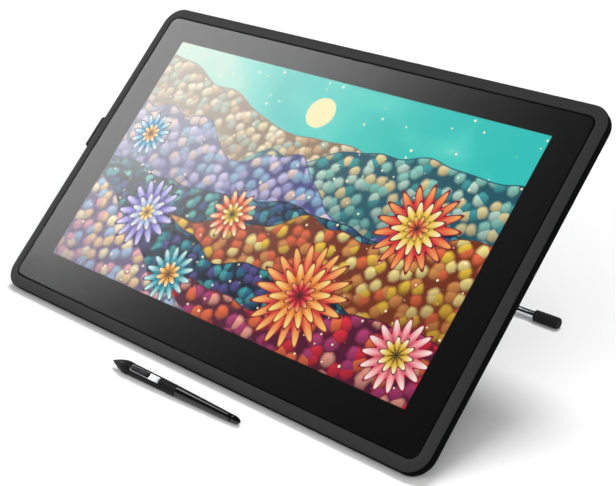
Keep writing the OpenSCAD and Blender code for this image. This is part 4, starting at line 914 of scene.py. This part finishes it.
# radius along the grip: rising to the shoulder, V grooves on it, then a straight taper
def gripRadius(x):
    knots = [pen["noseLen"], pen["wideX"], pen["shoulderX"], pen["gripX"]]
    radius = np.interp(x, knots, [pen["noseR"], pen["wideR"], pen["frontR"], pen["midR"]])
    softened = np.interp(x, [pen["noseLen"], pen["wideX"]], [0, math.pi])
    radius = radius + np.where((x > pen["noseLen"]) & (x < pen["wideX"]), pen["soft"] * np.sin(softened), 0)
    for k in range(pen["rings"]):
        off = np.abs(x - (pen["ringX"] + k * pen["ringStep"] + pen["ringWide"] / 2)) / (pen["ringWide"] / 2)
        radius = radius - pen["ringDeep"] * np.clip(1 - off, 0, 1)
    return radius


# how far a point is inside an outline with a round front end, in millimetres
def insideOutline(x, y, start, length, wide):
    half = wide / 2
    rear = np.minimum(half - np.abs(y), start + length - x)
    front = half - np.hypot(x - start - half, y)
    return np.where(x < start + half, front, rear)


# grip: turned, (x, r sin a, r cos a), with the side switch's pocket pressed down to a floor inside the
# plate's and the rocker's outlines; the columns over the pocket lie at equal steps across it
pocket = {"from": 27.3, "to": 67, "step": 0.3, "rear": 67.2, "half": 3.7, "columns": 112, "around": 60,
          "plateIn": 0.2, "plateDrop": 0.1, "rockerIn": -0.3, "rockerDrop": 0.9}


def gripPoints():
    x = np.concatenate([np.linspace(pen["noseLen"], pen["shoulderX"], 101),
                        np.arange(pocket["from"], pocket["to"], pocket["step"]),
                        np.linspace(pocket["rear"], pen["gripX"], 12)])
    r = gripRadius(x)
    top = np.arcsin(np.linspace(-pocket["half"], pocket["half"], pocket["columns"])[:, None] / r)
    rest = top[-1] + 2 * (math.pi - top[-1]) * np.linspace(0, 1, pocket["around"])[1:-1, None]
    angle = np.concatenate([top, rest])
    y, z = r * np.sin(angle), r * np.cos(angle)
    along = np.broadcast_to(x, y.shape)
    inPlate = insideOutline(along, y, pen["plateX"], pen["plateLen"], pen["plateWide"])
    inRocker = insideOutline(along, y, pen["rockerX"], pen["rockerLen"], pen["rockerWide"])
    overPlate = (inPlate > pocket["plateIn"]) & (z > 0)
    overRocker = (inRocker > pocket["rockerIn"]) & (z > 0)
    z = np.where(overPlate, np.minimum(z, pen["plateZ"] - pocket["plateDrop"]), z)
    z = np.where(overRocker, np.minimum(z, pen["rockerLow"] - pocket["rockerDrop"]), z)
    outer = np.dstack([along, y, z])
    ends = angle[:, [0, -1]]
    bore = np.dstack([along[:, [0, -1]], pen["bore"] * np.sin(ends), pen["bore"] * np.cos(ends)])
    return np.concatenate([bore[:, :1], outer, bore[:, 1:]], axis=1)


penGrip = putSurface("penGrip", onPen(gripPoints()), closeRows=True, closeColumns=True)
dress(penGrip, "display", "pen_rubber", finish["penRubber"], "pen_grip")


# outline with a round front end and slightly round rear corners, pulled in by an inset
def roundFront(start, length, wide, inset, corner=0.5):
    half, c = wide / 2 - inset, max(corner - inset, 0.05)
    front = arcOf((start + wide / 2, 0), half, 90, 270, 25)
    rear = start + length - inset
    low = arcOf((rear - c, -half + c), c, -90, 0, 5)
    high = arcOf((rear - c, half - c), c, 0, 90, 5)
    return np.concatenate([front, low, high])


# frame round the rocker: a closed ring between two outlines, its edges eased by insets and drops from its top
plate = {"outer": (0, 0, 0.1, 0.3), "inner": (-0.35, -0.2, -0.15, -0.15),
         "drops": (0.25, 0.05, 0, 0, 0.05, 0.2)}


def platePoints():
    low, top = pen["plateZ"], pen["plateZ"] + pen["plateThick"]
    outer = [roundFront(pen["plateX"], pen["plateLen"], pen["plateWide"], i) for i in plate["outer"]]
    inner = [roundFront(pen["rockerX"], pen["rockerLen"], pen["rockerWide"], i) for i in plate["inner"]]
    heights = [low] + [top - drop for drop in plate["drops"]] + [low]
    return np.stack([np.insert(line, 2, h, axis=1) for line, h in zip(outer + inner, heights)], axis=1)


switchFrame = putSurface("switchFrame", onPen(platePoints()), closeRows=True, closeColumns=True, sharp=50)
dress(switchFrame, "display", "plate_silver", finish["silver"], "pen_switch_plate")

# rocker: a long button with two crowned pads, height = top - dip between them - fall to its sides and edge
rocker = {"pulls": (0, 0.25, 0.5, 0.7, 0.84, 0.93, 0.98, 1.0), "dip": 0.45, "dipWide": 0.22, "crown": 0.18,
          "edge": 0.3, "edgeFrom": 0.84}


def rockerPoints():
    pulls = np.array(rocker["pulls"])
    line = roundFront(pen["rockerX"], pen["rockerLen"], pen["rockerWide"], 0.0)
    middle = np.array([pen["pinX"], 0])
    flat = middle + (line - middle)[:, None] * pulls[:, None]
    along = (flat[..., 0] - pen["pinX"]) / (pen["rockerLen"] / 2)
    side = flat[..., 1] / (pen["rockerWide"] / 2)
    edge = np.clip((pulls - rocker["edgeFrom"]) / (1 - rocker["edgeFrom"]), 0, 1) ** 2
    dip = rocker["dip"] * np.exp(-(along / rocker["dipWide"]) ** 2)
    top = np.dstack([flat, pen["rockerTop"] - dip - rocker["crown"] * side ** 2 - rocker["edge"] * edge])
    low = np.full((len(line), 1), pen["rockerLow"])
    wall = np.dstack([flat[:, -1:], low])
    under = np.dstack([np.broadcast_to(middle, (len(line), 1, 2)), low])
    return np.concatenate([top, wall, under], axis=1)


switchRocker = putSurface("switchRocker", onPen(rockerPoints()), closeRows=True, sharp=50)
dress(switchRocker, "side_switch", "pen_satin", finish["penSatin"], "pen_switch")

# barrel: a straight taper, turned, eased at both ends
barrel = {"from": 2, "rearEase": 0.4, "rearDrop": 0.2, "frontIn": 0.35, "frontDrop": 0.25, "frontR": 0.3}
barrelX = np.linspace(pen["gripX"] + barrel["from"], pen["tailX"] - barrel["rearEase"], 20)
barrelR = np.interp(barrelX, [pen["gripX"], pen["tailX"]], [pen["midR"], pen["tailR"]])
barrelFront = pen["midR"] - barrel["frontDrop"]
barrelProfile = np.concatenate([
    [(pen["gripX"], 0), (pen["gripX"], barrelFront)],
    arcOf((pen["gripX"] + barrel["frontIn"], barrelFront), barrel["frontR"], 150, 90, 4),
    np.stack([barrelX, barrelR], axis=-1),
    [(pen["tailX"], pen["tailR"] - barrel["rearDrop"]), (pen["tailX"], 0)]])
penBarrel = putSurface("penBarrel", onPen(turnedRound(barrelProfile)), closeRows=True)
dress(penBarrel, "display", "pen_gloss", finish["penGloss"], "pen_barrel")

# tail switch: a stem in the barrel, a fine gap, then a dome, x = start + length sin a and r = radius cos a
tail = {"stem": 5.8, "stemR": 2.0, "gap": 1.2, "edge": 1.4, "edgeDrop": 0.3, "slack": 0.1, "domeFrom": 2.2,
        "domeLen": 7.8}
tailX, tailR = pen["tailX"], pen["tailR"] - tail["slack"]
domeAngles = np.radians(np.linspace(0, 90, 16))
domeX = tailX + tail["domeFrom"] + tail["domeLen"] * np.sin(domeAngles)
tailProfile = np.concatenate([
    [(tailX - tail["stem"], 0), (tailX - tail["stem"], tail["stemR"]), (tailX + tail["gap"], tail["stemR"]),
     (tailX + tail["gap"], pen["tailR"] - tail["edgeDrop"]), (tailX + tail["edge"], tailR)],
    np.stack([domeX, tailR * np.cos(domeAngles)], axis=-1)])
penTail = putSurface("penTail", onPen(turnedRound(tailProfile)), closeRows=True)
dress(penTail, "tail_switch", "pen_gloss", finish["penGloss"], "pen_eraser")
print("pieces set")
